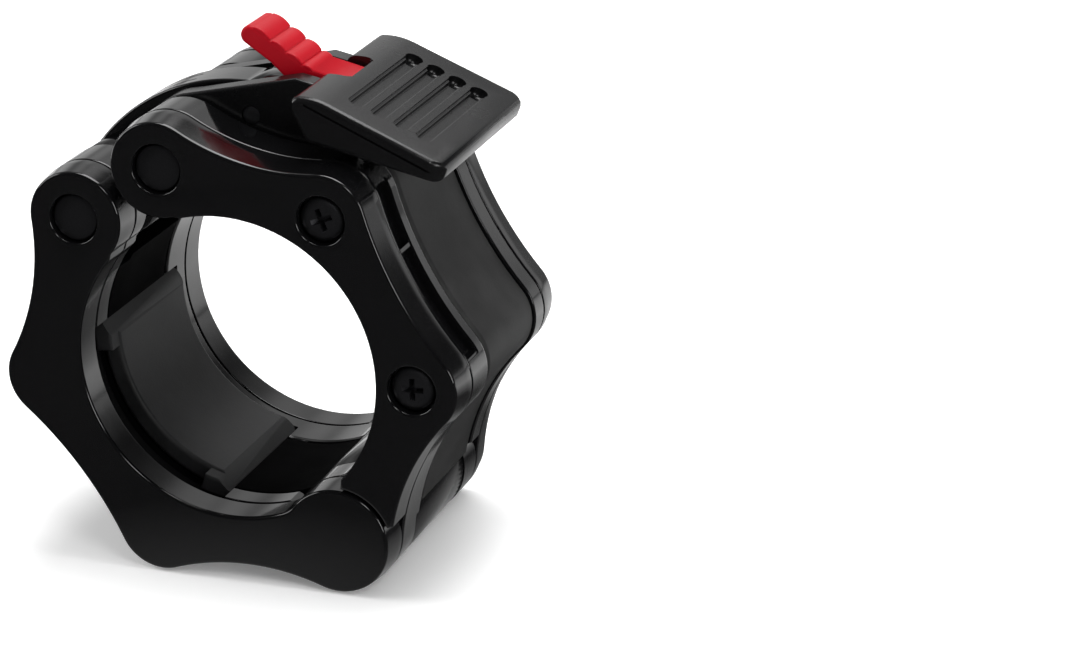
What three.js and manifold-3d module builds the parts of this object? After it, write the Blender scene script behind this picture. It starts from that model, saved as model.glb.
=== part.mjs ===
// A clamp collar for a weight bar: two moulded half-ring jaws on a hinge, closed over the
// bar's sleeve by an over-centre toggle with a wide thumb paddle and a small red release tab.
// Millimetres, +Z up, the bar along Y, the front face toward -Y. The collar stands as it is
// found on a table, leaning over on its lowest lobe and its hinge boss.
import * as THREE from 'three';
import { mergeVertices } from 'three/addons/utils/BufferGeometryUtils.js';
import Module from 'manifold-3d';

const wasm = await Module();
wasm.setup();

// Fits and small allowances
const seatGap = 0.3;
const runningGap = 0.4;
const chordError = 0.05;
const overrun = 4;
const weldDistance = 0.001;
const edgeBreak = 0.5;
const cornerShare = 0.488;

// Bore and overall depth
const sleeveDiameter = 50;
const collarDepth = 50;
const lipSetback = 1.55;
const padThickness = 3.3;
const padBackRoom = 0.25;

// Jaw outline: circles standing off the sleeve by their own distances, joined by hollow flanks
const hingeStandoff = 9.58;
const hingeBossRadius = 9.48;
const lobeStandoff = 7.9;
const lobeRadius = 8.4;
const lowerLobeAngle = 56.8;
const upperLobeAngle = 114.2;
const pinStandoff = 10.5;
const pinBossRadius = 8.5;
const pinSpacing = 18.48;
const lowerFlankRadius = 40;
const middleFlankRadius = 66;
const upperFlankRadius = 40;
const hingeFilletRadius = 5;
const plateInnerEndAngle = 38.4;
const plateOuterEndAngle = 101;
const plateEndReach = 14;

// Layers of each jaw along the bar
const coverThickness = 6.2;
const earShellThickness = 4.5;
const knuckleLength = 6.1;
const mechanismBayWidth = 19.6;

// Soft parts
const gripInset = 0.9;
const gripThickness = 2.1;
const padStartAngle = 42;
const padEndAngle = 128;
const padFrontSetback = 12.3;
const padRearSetback = 10.2;
const padTabLength = 4;
const padTabAngle = 11;
const lipOverlapAngle = 2;
const bayFloorThickness = 3.2;
const linkBayRoom = 1.13;
const barBayRoom = 1.36;
const hubFloorRoom = 0.8;

// Long recess in the knuckle shell's flank
const flankSlotWidth = 4.4;
const flankSlotDepth = 1.5;
const flankSlotSetback = 0.6;
const flankSlotStartAngle = 62;
const flankSlotEndAngle = 109;

// Screws and pins
const screwHeadRadius = 3.9;
const screwHeadHeight = 2.2;
const screwHeadSink = 0.8;
const screwShankRadius = 1.9;
const screwEndCover = 3.4;
const pinRadius = 4;
const pinSink = 0.9;
const hingePinRadius = 3.5;
const hingePinCover = 3.7;
const sleeveRadius = 9.4;

// Toggle lever
const leverHubRadius = 8.5;
const leverHubFillet = 5;
const cheekThickness = 4.4;
const cheekSlope = 12;
const cheekUnderSlope = 7.3;
const cheekTipSetback = 12.9;
const toggleArm = 12;
const overCentre = 5;
const togglePinRadius = 1.6;
const toggleEyeWall = 1.6;
const heelReach = 20.88;
const leverReach = 48.9;
const leverRise = 13;
const trayOutlineShares = [[0, 0.985], [0.136, 0.41], [0.958, 0.03], [1, 0.255], [0.194, 1]];
const trayCornerRadius = 2.6;
const trayBrowRadius = 14;
const trayEdgeRadius = 1;
const heelBow = 1.6;
const trayWall = 2.2;
const paddleWidth = 40;
const paddleFlare = 0.8;
const paddleCornerRadius = 3.5;
const tabSlotWidth = 11.4;
const tabSlotLength = 6.2;
const grooveCount = 4;
const grooveWidth = 1.5;
const grooveDepth = 0.7;
const grooveLength = 29;
const grooveStart = 5.3;
const grooveEnd = 6.68;
const groovePocketRadius = 1.7;
const groovePocketDepth = 1.1;

// Link from the left jaw, arched over the lever's pin
const linkHubRadius = 8.3;
const linkWidth = 8.4;
const archOuterRadius = 34;
const archCentreAlong = 11.9;
const archCentreBelow = 23.4;
const archThickness = 4.5;
const linkEndRadius = 5;
const toggleEyeRadius = 3.3;

// Release tab with its toe, pin and spring, and the bar in the right jaw that the toe bears on
const tabPivotSetback = 1.58;
const tabPivotDrop = 3.105;
const tabWidth = 9.2;
const tabPinRadius = 1.5;
const tabBossRadius = 3.2;
const tabReach = 11;
const tabRise = 10.525;
const tabThickness = 3.3;
const tabTipRadius = 1.5;
const tabBendSetback = 10.6;
const tabUnderSetback = 5.88;
const tabFootSetback = 2.88;
const tabFootRadius = 3.3;
const tabSlope = 33.8;
const tabTailReach = 7.6;
const tabTailRise = 1.485;
const tabTailSlant = 0.41;
const tabNotchDepth = 0.6;
const tabNotchWidth = 1.1;
const tabNotchShares = [0.4, 0.66, 0.9];
const toeRadius = 1.3;
const toeOffset = 0.78;
const toeReach = 10.2;
const toeBreadth = 6;
const releaseBarRadius = 1.5;
const releaseBarAhead = 3.41;
const releaseBarDrop = 12.19;
const springWireRadius = 0.4;
const springCoilRadius = 2.3;
const springPitch = 1;
const springCurls = 4;
const springSteps = 16;
const springSides = 5;

// Values that follow from the sizes above
const DEG = Math.PI / 180;
const boreRadius = sleeveDiameter / 2;
const lipRadius = boreRadius + lipSetback;
const hingeCircle = boreRadius + hingeStandoff;
const lobeCircle = boreRadius + lobeStandoff;
const pinCircle = boreRadius + pinStandoff;
const pinAngle = 180 - Math.asin(pinSpacing / 2 / pinCircle) / DEG;
const padBackRadius = boreRadius + padThickness;
const halfDepth = collarDepth / 2;
const coverInner = halfDepth - coverThickness;
const shellOuter = coverInner - seatGap;
const knuckleInner = shellOuter - knuckleLength;
const earShellInner = shellOuter - earShellThickness;
const bayHalf = mechanismBayWidth / 2;
const knuckleShellInner = bayHalf;
const cheekOuter = bayHalf - runningGap;
const cheekInner = cheekOuter - cheekThickness;
const hingeClearRadius = hingeBossRadius + seatGap;
const gripInner = gripInset + gripThickness;
const coreInset = gripInner + seatGap;

// Working plane of a jaw: the bore axis is the origin, the hinge lies straight below and
// the mouth straight above; angles run from the hinge, anticlockwise seen from the front.
function polar(angle, radius) {
  const a = angle * DEG;
  return new THREE.Vector2(radius * Math.sin(a), -radius * Math.cos(a));
}

function steps(radius, sweep) {
  return Math.max(2, Math.ceil(Math.abs(sweep) / (2 * Math.acos(1 - chordError / radius))));
}

function arc(centre, radius, from, sweep) {
  const count = steps(radius, sweep);
  const points = [];
  for (let i = 0; i <= count; i += 1) {
    const a = from + (sweep * i) / count;
    points.push(new THREE.Vector2(centre.x + radius * Math.cos(a), centre.y + radius * Math.sin(a)));
  }
  return points;
}

function heading(from, to) {
  return Math.atan2(to.y - from.y, to.x - from.x);
}

// Arc about a centre from one direction to another, turning the given way
function arcBetween(centre, radius, start, end, turn) {
  const from = heading(centre, start);
  let sweep = heading(centre, end) - from;
  while (turn * sweep < 0) {
    sweep += turn * 2 * Math.PI;
  }
  return arc(centre, radius, from, sweep);
}

// Centre of the circle at given distances from two points, on the side away from the bore
function meet(first, firstReach, second, secondReach, side) {
  const gap = first.distanceTo(second);
  const u = second.clone().sub(first).divideScalar(gap);
  const along = (firstReach ** 2 - secondReach ** 2 + gap ** 2) / (2 * gap);
  const off = Math.sqrt(firstReach ** 2 - along ** 2) * side;
  return new THREE.Vector2(first.x + u.x * along + u.y * off, first.y + u.y * along - u.x * off);
}

const boreCentre = new THREE.Vector2(0, 0);
const hingeCentre = polar(0, hingeCircle);
const lowerLobe = polar(lowerLobeAngle, lobeCircle);
const upperLobe = polar(upperLobeAngle, lobeCircle);
const rightPin = polar(pinAngle, pinCircle);
const leftPin = new THREE.Vector2(-rightPin.x, rightPin.y);

// Outer boundary of the right jaw from the hinge boss to the pin boss, drawn in by an inset
function flankPoints(inset) {
  const circles = [
    [hingeCentre, hingeBossRadius - inset],
    [lowerLobe, lobeRadius - inset],
    [upperLobe, lobeRadius - inset],
    [rightPin, pinBossRadius - inset],
  ];
  const flanks = [lowerFlankRadius, middleFlankRadius, upperFlankRadius].map((r) => r + inset);
  const centres = flanks.map((r, i) => {
    const [first, firstRadius] = circles[i];
    const [second, secondRadius] = circles[i + 1];
    return meet(first, firstRadius + r, second, secondRadius + r, 1);
  });
  const points = [];
  flanks.forEach((r, i) => {
    const first = circles[i][0];
    const [second, secondRadius] = circles[i + 1];
    points.push(...arcBetween(centres[i], r, first, second, -1).slice(i === 0 ? 0 : 1));
    const next = i + 1 < flanks.length ? centres[i + 1] : boreCentre;
    points.push(...arcBetween(second, secondRadius, centres[i], next, 1).slice(1));
  });
  return points;
}

// Full jaw outline with or without the hinge boss
function jawOutline(withBoss) {
  const points = flankPoints(0);
  const pinInner = points.pop();
  const mouthAngle = pinAngle * DEG;
  const overlap = lipOverlapAngle * DEG;
  const from = Math.PI * 1.5 + mouthAngle;
  points.push(pinInner);
  if (withBoss) {
    const fillet = meet(boreCentre, lipRadius - hingeFilletRadius,
      hingeCentre, hingeBossRadius + hingeFilletRadius, -1);
    let to = heading(boreCentre, fillet);
    while (to > from) {
      to -= 2 * Math.PI;
    }
    while (to < from - 2 * Math.PI) {
      to += 2 * Math.PI;
    }
    points.push(...arc(boreCentre, lipRadius, from - overlap, to - from + overlap));
    points.push(...arcBetween(fillet, hingeFilletRadius, fillet.clone().add(fillet),
      hingeCentre, -1).slice(1));
    points.push(...arcBetween(hingeCentre, hingeBossRadius, fillet, points[0], 1).slice(1, -1));
  } else {
    points.push(...arc(boreCentre, lipRadius, from - overlap, 2 * overlap - mouthAngle));
    points.push(hingeCentre.clone());
  }
  return points;
}

// Sector of a ring between two angles, used for pockets, slots and bays
function sector(startAngle, endAngle, inner, outer) {
  const a = (startAngle - 90) * DEG;
  const sweep = (endAngle - startAngle) * DEG;
  return [...arc(boreCentre, outer, a, sweep), ...arc(boreCentre, inner, a + sweep, -sweep)];
}

// Solids: a plan in the working plane, stretched along the bar from front to back
function prismGeometry(points, front, back, chamfer = 0) {
  const plan = points.filter((point, i) => point.distanceTo(points.at(i - 1)) > weldDistance);
  const shape = new THREE.Shape(plan);
  const depth = back - front - 2 * chamfer;
  const geometry = new THREE.ExtrudeGeometry(shape, {
    depth,
    steps: 1,
    bevelEnabled: chamfer > 0,
    bevelThickness: chamfer,
    bevelSize: chamfer,
    bevelOffset: -chamfer,
    bevelSegments: 1,
  });
  geometry.rotateX(Math.PI / 2);
  geometry.translate(0, back - chamfer, 0);
  return geometry;
}

function solid(geometry) {
  const bare = geometry.clone();
  bare.deleteAttribute('normal');
  bare.deleteAttribute('uv');
  const merged = mergeVertices(bare, 1e-4);
  return new wasm.Manifold(new wasm.Mesh({
    numProp: 3,
    vertProperties: new Float32Array(merged.attributes.position.array),
    triVerts: new Uint32Array(merged.index.array),
  }));
}

function prism(points, front, back, chamfer = 0) {
  return solid(prismGeometry(points, front, back, chamfer));
}

function rod(centre, radius, front, back) {
  const geometry = new THREE.CylinderGeometry(radius, radius, back - front, steps(radius, 2 * Math.PI));
  geometry.translate(centre.x, (front + back) / 2, centre.y);
  return solid(geometry);
}

function block(left, right, front, back, low, high) {
  const geometry = new THREE.BoxGeometry(right - left, back - front, high - low);
  geometry.translate((left + right) / 2, (front + back) / 2, (low + high) / 2);
  return solid(geometry);
}

function toGeometry(manifold) {
  const mesh = manifold.getMesh();
  const geometry = new THREE.BufferGeometry();
  geometry.setAttribute('position', new THREE.BufferAttribute(new Float32Array(mesh.vertProperties), 3));
  geometry.setIndex(new THREE.BufferAttribute(new Uint32Array(mesh.triVerts), 1));
  geometry.computeVertexNormals();
  return geometry;
}

// A polygon with every corner rounded by its own radius
function rounded(corners, radii) {
  const points = [];
  corners.forEach((corner, i) => {
    const before = corners[(i + corners.length - 1) % corners.length];
    const after = corners[(i + 1) % corners.length];
    const inward = before.clone().sub(corner).normalize();
    const outward = after.clone().sub(corner).normalize();
    const half = Math.acos(THREE.MathUtils.clamp(inward.dot(outward), -1, 1)) / 2;
    const reach = Math.min(radii[i] / Math.tan(half),
      corner.distanceTo(before) * cornerShare, corner.distanceTo(after) * cornerShare);
    const radius = reach * Math.tan(half);
    const bisector = inward.clone().add(outward).normalize();
    const centre = corner.clone().addScaledVector(bisector, radius / Math.sin(half));
    const turn = Math.sign(inward.x * outward.y - inward.y * outward.x) * -1;
    points.push(...arcBetween(centre, radius, corner.clone().addScaledVector(inward, reach),
      corner.clone().addScaledVector(outward, reach), turn));
  });
  return points;
}

// Jaw layers
// The pins' holes, the screws' holes and the hub's room are cut through every layer alike.
function drillPins(body, front, back) {
  return body.subtract(rod(rightPin, pinRadius + seatGap, front, back));
}

function drillScrews(body, radius, front, back) {
  return body.subtract(rod(lowerLobe, radius, front, back)).subtract(rod(upperLobe, radius, front, back));
}

function clearHinge(body, radius, front, back) {
  return body.subtract(rod(hingeCentre, radius, front, back));
}

// A plate that ends at the other jaw's hinge boss stops bluntly, square to the boss. The
// end angles are taken at the hinge, clockwise from the line to the bore axis.
function clearBoss(body, front, back) {
  const from = (90 - plateOuterEndAngle) * DEG;
  const sweep = -(360 - plateOuterEndAngle + plateInnerEndAngle) * DEG;
  const plan = [...arc(hingeCentre, plateEndReach, from, sweep), hingeCentre.clone()];
  return clearHinge(body, hingeClearRadius, front, back).subtract(prism(plan, front, back));
}

// Cover that carries the screw heads; its end is cut away round the other jaw's hinge boss
function screwCover() {
  const back = -coverInner;
  const face = -halfDepth - overrun;
  let body = prism(jawOutline(false), -halfDepth, back + overrun, edgeBreak);
  body = body.subtract(block(-halfDepth * 2, halfDepth * 2, back, back + 2 * overrun,
    -halfDepth * 2, halfDepth * 2));
  body = clearBoss(body, face, back + overrun);
  body = drillPins(body, face, back + overrun);
  body = drillScrews(body, screwShankRadius + seatGap, face, back + overrun);
  const seat = -halfDepth + screwHeadSink + screwHeadHeight;
  return drillScrews(body, screwHeadRadius + seatGap, face, seat);
}

// Cover that carries the hinge boss, with blind holes for the screws and the hinge pin
function hingeCover() {
  const front = coverInner;
  let body = prism(jawOutline(true), front - overrun, halfDepth, edgeBreak);
  body = body.subtract(block(-halfDepth * 2, halfDepth * 2, front - 2 * overrun, front,
    -halfDepth * 2, halfDepth * 2));
  body = drillPins(body, front - overrun, halfDepth + overrun);
  body = drillScrews(body, screwShankRadius + seatGap, front - overrun, halfDepth - screwEndCover + seatGap);
  return clearHinge(body, hingePinRadius + seatGap, front - overrun, halfDepth - hingePinCover + seatGap);
}

// Thick shell with this jaw's hinge knuckle, the pad's rear lip and the long flank recess
function knuckleShell() {
  const front = -shellOuter;
  const back = -knuckleShellInner;
  const cut = back + overrun;
  let body = prism(jawOutline(true), front, back);
  body = clearHinge(body, sleeveRadius + runningGap, -knuckleInner, cut);
  body = clearHinge(body, hingePinRadius + seatGap, front - overrun, cut);
  const padPocket = sector(padStartAngle, padEndAngle, boreRadius - overrun,
    padBackRadius + padBackRoom);
  body = body.subtract(prism(padPocket, -(halfDepth - padRearSetback) - seatGap, cut));
  body = drillPins(body, front - overrun, cut);
  body = drillScrews(body, screwShankRadius + seatGap, front - overrun, cut);
  const recessPlan = sector(flankSlotStartAngle, flankSlotEndAngle, lipRadius, lipRadius * 2);
  const slotFront = front + flankSlotSetback;
  const recess = prism(recessPlan, slotFront, slotFront + flankSlotWidth)
    .subtract(prism(insetJaw(flankSlotDepth), slotFront - overrun, slotFront + flankSlotWidth + overrun));
  return body.subtract(recess);
}

// Closed plan of the jaw drawn in from outside, used to stop a cut at a set depth
function insetJaw(inset) {
  return [...flankPoints(inset), boreCentre.clone(), hingeCentre.clone()];
}

// Thin shell at the other side, with the ear that closes the mechanism bay
function earShell(bayAngle) {
  const front = earShellInner;
  const back = shellOuter;
  const cut = bayHalf - overrun;
  let body = prism(jawOutline(false), front, back);
  const ear = prism(jawOutline(false), bayHalf, front + seatGap)
    .intersect(prism(sector(bayAngle + 1, 180, lipRadius + bayFloorThickness + seatGap, lipRadius * 2),
      cut, back));
  body = body.add(ear);
  body = clearBoss(body, cut, back + overrun);
  const channel = sector(padStartAngle, padEndAngle, boreRadius - overrun,
    padBackRadius + padBackRoom);
  body = body.subtract(prism(channel, front - overrun, back + overrun));
  body = drillPins(body, cut, back + overrun);
  return drillScrews(body, screwShankRadius + seatGap, cut, back + overrun);
}

// Structural core between the shells, with the pad's pocket, the bay and its thin floor
const coreFront = -knuckleShellInner + seatGap;
const coreBack = earShellInner - seatGap;
function core(bayAngle) {
  const from = coreFront - overrun;
  const to = coreBack + overrun;
  const outer = flankPoints(coreInset);
  const plan = [...outer, ...arc(boreCentre, lipRadius, (pinAngle - 90) * DEG, -(pinAngle - 2 * lipOverlapAngle) * DEG),
    hingeCentre.clone()];
  let body = prism(plan, coreFront, coreBack);
  body = clearHinge(body, sleeveRadius + runningGap, from, to);
  body = body.subtract(prism(sector(padStartAngle, padEndAngle, boreRadius - overrun,
    padBackRadius + padBackRoom), from, to));
  body = body.subtract(prism(sector(bayAngle, 200, lipRadius + bayFloorThickness, lipRadius * 2), from, to));
  body = body.subtract(prism(sector(bayAngle, 200, boreRadius, lipRadius * 2), bayHalf - seatGap, to));
  body = body.subtract(prism(sector(bayFloorEndAngle, 200, boreRadius, lipRadius * 2), from, to));
  return drillScrews(body, screwShankRadius + seatGap, from, to);
}

// Rubber skin round the outside of the core
function grip(bayAngle) {
  const outer = flankPoints(gripInset);
  const inner = flankPoints(gripInner);
  let body = prism([...outer, ...inner.reverse()], coreFront, coreBack);
  body = clearHinge(body, hingeClearRadius, coreFront - overrun, coreBack + overrun);
  return body.subtract(prism(sector(bayAngle, 200, boreRadius, lipRadius * 2),
    coreFront - overrun, coreBack + overrun));
}

// Rubber pad that bears on the bar's sleeve, with two small end tabs
function pad() {
  const gapAngle = (seatGap / padBackRadius) / DEG;
  const start = padStartAngle + gapAngle;
  const end = padEndAngle - gapAngle;
  const front = -(halfDepth - padRearSetback);
  const back = halfDepth - padFrontSetback;
  const body = prism(sector(start, end, boreRadius, padBackRadius), front, back);
  const first = prism(sector(start, start + padTabAngle, boreRadius, padBackRadius), back - overrun,
    back + padTabLength);
  const last = prism(sector(end - padTabAngle, end, boreRadius, padBackRadius), back - overrun,
    back + padTabLength);
  return body.add(first).add(last);
}

// Screw with a plain round head, from the screw cover into the far cover
function screw(centre) {
  const head = -halfDepth + screwHeadSink;
  const shankEnd = halfDepth - screwEndCover;
  return rod(centre, screwHeadRadius, head, head + screwHeadHeight - seatGap)
    .add(rod(centre, screwShankRadius, head + screwHeadHeight / 2, shankEnd));
}

// Toggle geometry in the lever's own plane: the origin is the lever's pin, x runs level
// toward the paddle and y runs up, with the collar standing as photographed.
const origin = new THREE.Vector2(0, 0);
const lobeSpanX = lobeCircle * Math.sin(lowerLobeAngle * DEG);
const lobeSpanY = hingeCircle - lobeCircle * Math.cos(lowerLobeAngle * DEG);
const leanAngle = Math.acos((lobeRadius - hingeBossRadius) / Math.hypot(lobeSpanY, lobeSpanX))
  - Math.atan2(lobeSpanX, lobeSpanY);

function standing(point) {
  return point.clone().rotateAround(boreCentre, leanAngle);
}

const leverAt = standing(rightPin);
const linkAt = standing(leftPin);
const toggleAt = new THREE.Vector2(toggleArm, 0).rotateAround(origin, leanAngle - overCentre * DEG);
const trayCorners = trayOutlineShares.map(([x, y]) => new THREE.Vector2(
  heelReach + x * (leverReach - heelReach), y * leverRise));
const tabAt = trayCorners[0].clone().sub(new THREE.Vector2(tabPivotSetback, tabPivotDrop));
const releaseBarAt = tabAt.clone().add(new THREE.Vector2(releaseBarAhead, -releaseBarDrop));

// The mechanism bay ends clear of the link's hub in the left jaw and of the release bar in
// the right one, and its floor ends clear of the hub that turns over it.
const barInJaw = releaseBarAt.clone().add(leverAt).rotateAround(boreCentre, -leanAngle);
const leftBayAngle = pinAngle - Math.asin((linkHubRadius + linkBayRoom) / pinCircle) / DEG;
const rightBayAngle = 90 + barInJaw.angle() / DEG
  - Math.asin((releaseBarRadius + barBayRoom) / barInJaw.length()) / DEG;
const floorRadius = lipRadius + bayFloorThickness;
const hubRoom = leverHubRadius + hubFloorRoom;
const bayFloorEndAngle = pinAngle
  - Math.acos((floorRadius ** 2 + pinCircle ** 2 - hubRoom ** 2) / (2 * floorRadius * pinCircle)) / DEG;

function lever() {
  const radii = [trayCornerRadius, trayEdgeRadius, trayEdgeRadius, trayCornerRadius, trayBrowRadius];
  const [heel, heelFoot, tipFoot, tip, brow] = trayCorners;
  const cheekReach = leverReach - cheekTipSetback;
  const half = paddleWidth / 2;
  const wide = half + paddleFlare;
  const side = prism(rounded(trayCorners, radii), -wide, wide);
  // Plan of the paddle seen from above: a bowed heel, a little wider toward its tip
  const bowRadius = (half ** 2 + heelBow ** 2) / (2 * heelBow);
  const bowCentre = new THREE.Vector2(heel.x + bowRadius, 0);
  const tipSide = rounded([
    new THREE.Vector2(heel.x + heelBow, -half),
    new THREE.Vector2(leverReach, -wide),
    new THREE.Vector2(leverReach, wide),
    new THREE.Vector2(heel.x + heelBow, half),
  ], [0, paddleCornerRadius, paddleCornerRadius, 0].map((r) => r + edgeBreak));
  const plan = [...tipSide, ...arcBetween(bowCentre, bowRadius, tipSide.at(-1), tipSide[0], 1).slice(1, -1)];
  const planGeometry = new THREE.ExtrudeGeometry(new THREE.Shape(plan),
    { depth: 2 * leverRise, steps: 1, bevelEnabled: false });
  planGeometry.translate(0, 0, -leverRise / 2);
  const outer = side.intersect(solid(planGeometry));
  // Hollow underside: the same side profile drawn in by the wall and open downward
  const across = tip.clone().sub(brow).normalize();
  const down = new THREE.Vector2(across.y, -across.x);
  const heelDown = heelFoot.clone().sub(heel).normalize();
  const hollowHeel = new THREE.Vector2(heel.x + trayWall, heel.y - trayWall);
  const hollowTip = tip.clone().addScaledVector(across, -trayWall).addScaledVector(down, trayWall);
  const hollow = prism([
    brow.clone().addScaledVector(down, trayWall),
    hollowHeel,
    hollowHeel.clone().addScaledVector(heelDown, leverRise),
    new THREE.Vector2(tipFoot.x - trayWall, tipFoot.y - leverRise),
    hollowTip,
  ], -(half - trayWall), half - trayWall);
  let body = outer.subtract(hollow);
  body = body.subtract(block(0, heel.x + tabSlotLength, -tabSlotWidth / 2, tabSlotWidth / 2, 0, 2 * leverRise));
  // Two cheeks that run from the hub into the paddle
  const lean = cheekSlope * DEG;
  const topStart = new THREE.Vector2(-Math.sin(lean), Math.cos(lean)).multiplyScalar(leverHubRadius);
  const heelMeet = (heel.x - topStart.x) / Math.cos(lean);
  const topEnd = topStart.clone().add(new THREE.Vector2(Math.cos(lean), Math.sin(lean)).multiplyScalar(heelMeet));
  const inner = new THREE.Vector2(cheekReach, 0);
  inner.y = brow.y + (across.y / across.x) * (inner.x - brow.x) - trayWall / 2;
  const drop = -cheekUnderSlope * DEG;
  const under = new THREE.Vector2(Math.sin(-drop), -Math.cos(-drop));
  const eye = toggleAt.clone().addScaledVector(under, togglePinRadius + toggleEyeWall);
  const alongUnder = new THREE.Vector2(Math.cos(-drop), Math.sin(-drop));
  const height = eye.dot(under) + leverHubFillet;
  const reach = Math.sqrt((leverHubRadius + leverHubFillet) ** 2 - height ** 2);
  const fillet = alongUnder.clone().multiplyScalar(reach).addScaledVector(under, height);
  const underEnd = alongUnder.clone().multiplyScalar(cheekReach).addScaledVector(under, eye.dot(under));
  const underFoot = fillet.clone().addScaledVector(under, -leverHubFillet);
  const profile = [
    ...arcBetween(origin, leverHubRadius, topStart, fillet, 1),
    ...arcBetween(fillet, leverHubFillet, origin, underFoot, -1).slice(1),
    new THREE.Vector2(heelFoot.x, underEnd.y - (cheekReach - heelFoot.x) * Math.tan(-drop)),
    inner,
    new THREE.Vector2(heel.x + trayWall, Math.min(topEnd.y, heel.y) - trayWall / 2),
    new THREE.Vector2(heel.x - trayWall, topEnd.y - trayWall * Math.sin(lean)),
  ];
  const cheeks = prism(profile, -cheekOuter, -cheekInner).add(prism(profile, cheekInner, cheekOuter));
  body = body.add(cheeks);
  body = body.subtract(rod(origin, pinRadius + runningGap, -wide, wide));
  body = body.subtract(rod(toggleAt, togglePinRadius + seatGap, -wide, wide));
  body = body.subtract(rod(tabAt, tabPinRadius + seatGap, -cheekOuter - seatGap, cheekOuter + seatGap));
  body = body.subtract(block(tabAt.x, heel.x + tabSlotLength, -tabWidth / 2 - runningGap,
    tabWidth / 2 + runningGap, tabAt.y - tabBossRadius - runningGap, tabAt.y + leverRise));
  // Grip grooves across the paddle, each with a deeper round pocket at its far end
  const groovePitch = (tip.distanceTo(brow) - grooveStart - grooveEnd) / (grooveCount - 1);
  for (let i = 0; i < grooveCount; i += 1) {
    const at = brow.clone().addScaledVector(across, grooveStart + i * groovePitch);
    const groove = new THREE.BoxGeometry(grooveWidth, grooveLength, 2 * grooveDepth);
    const pocket = new THREE.CylinderGeometry(groovePocketRadius, groovePocketRadius,
      2 * groovePocketDepth, steps(groovePocketRadius, 2 * Math.PI));
    pocket.rotateX(Math.PI / 2);
    pocket.translate(0, grooveLength / 2, 0);
    [groove, pocket].forEach((cutter) => {
      cutter.rotateY(-Math.atan2(across.y, across.x));
      cutter.translate(at.x, 0, at.y);
      body = body.subtract(solid(cutter));
    });
  }
  return body;
}

// The link lies in a plane of its own: x runs from the left jaw's pin to the toggle pin
const toggleFromLink = leverAt.clone().add(toggleAt).sub(linkAt);
function link() {
  const end = new THREE.Vector2(toggleFromLink.length(), 0);
  const archCentre = new THREE.Vector2(archCentreAlong, -archCentreBelow);
  const inner = archOuterRadius - archThickness;
  const band = [
    ...arcBetween(archCentre, inner, origin, end, -1),
    ...arcBetween(archCentre, archOuterRadius, end, origin, 1),
  ];
  const half = linkWidth / 2;
  let body = prism(band, -half, half).add(rod(end, linkEndRadius, -half, half));
  body = body.add(rod(origin, linkHubRadius, -cheekOuter, cheekOuter));
  body = body.subtract(rod(origin, pinRadius + runningGap, -halfDepth, halfDepth));
  return body.subtract(rod(end, toggleEyeRadius, -halfDepth, halfDepth));
}

// Release tab in a plane of its own, the origin on its pin
function releaseTab() {
  const half = tabWidth / 2;
  const slope = tabSlope * DEG;
  const run = new THREE.Vector2(-Math.cos(slope), Math.sin(slope));
  const off = new THREE.Vector2(run.y, -run.x).negate();
  const tipTop = new THREE.Vector2(-tabReach, tabRise);
  const bend = tipTop.clone().addScaledVector(run, -tabBendSetback / Math.cos(slope));
  const tipUnder = tipTop.clone().addScaledVector(off, tabThickness);
  const underBend = tipUnder.clone().addScaledVector(run, -tabUnderSetback / Math.cos(slope));
  const stem = rounded([
    tipTop,
    tipUnder,
    underBend,
    new THREE.Vector2(-tabFootSetback, 0),
    new THREE.Vector2(tabTailReach - tabTailSlant, -tabTailSlant),
    new THREE.Vector2(tabTailReach, tabTailRise),
    bend,
  ], [tabTipRadius, tabTipRadius, tabFootRadius, tabNotchDepth, tabNotchDepth, tabNotchDepth, overrun]);
  let body = prism(stem, -half, half, tabNotchDepth).add(rod(origin, tabBossRadius, -half, half));
  // The toe comes down between the cheeks; when the tab is pressed it swings over the release
  // bar, and pressed harder it rides up on the bar and lifts the lever back over centre.
  const toeEnd = new THREE.Vector2(-toeOffset, -toeReach);
  const arm = [
    ...arc(toeEnd, toeRadius, Math.PI, Math.PI),
    new THREE.Vector2(toeRadius - toeOffset, 0),
    new THREE.Vector2(-toeRadius - toeOffset, 0),
  ];
  body = body.add(prism(arm, -toeBreadth / 2, toeBreadth / 2));
  // Finger ridges across the top
  tabNotchShares.forEach((share) => {
    const at = tipTop.clone().lerp(bend, share);
    const notch = new THREE.BoxGeometry(tabNotchWidth, tabWidth * 2, tabNotchDepth * 2);
    notch.rotateY(slope + Math.PI / 4);
    notch.translate(at.x, 0, at.y);
    body = body.subtract(solid(notch));
  });
  const springRoom = springCoilRadius + springWireRadius + seatGap;
  const springHalf = ((springCurls + 1) * springPitch) / 2 + seatGap;
  body = body.subtract(rod(origin, springRoom, -springHalf, springHalf));
  body = body.subtract(block(0, tabTailReach, -springHalf, springHalf, -springRoom, 0));
  return body.subtract(rod(origin, tabPinRadius + seatGap, -halfDepth, halfDepth));
}

// Torsion spring of the tab, wound round its pin
class Coil extends THREE.Curve {
  getPoint(t, target = new THREE.Vector3()) {
    const turn = 2 * Math.PI * springCurls * t;
    const along = (2 * t - 1) * springCurls * (springPitch / 2);
    return target.set(springCoilRadius * Math.cos(turn), along, springCoilRadius * Math.sin(turn));
  }
}

function spring() {
  const section = new THREE.Shape(Array.from({ length: springSides },
    (_, i) => new THREE.Vector2(springWireRadius, 0).rotateAround(origin, (i * 2 * Math.PI) / springSides)));
  return new THREE.ExtrudeGeometry(section,
    { extrudePath: new Coil(), steps: springCurls * springSteps, bevelEnabled: false });
}

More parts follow.
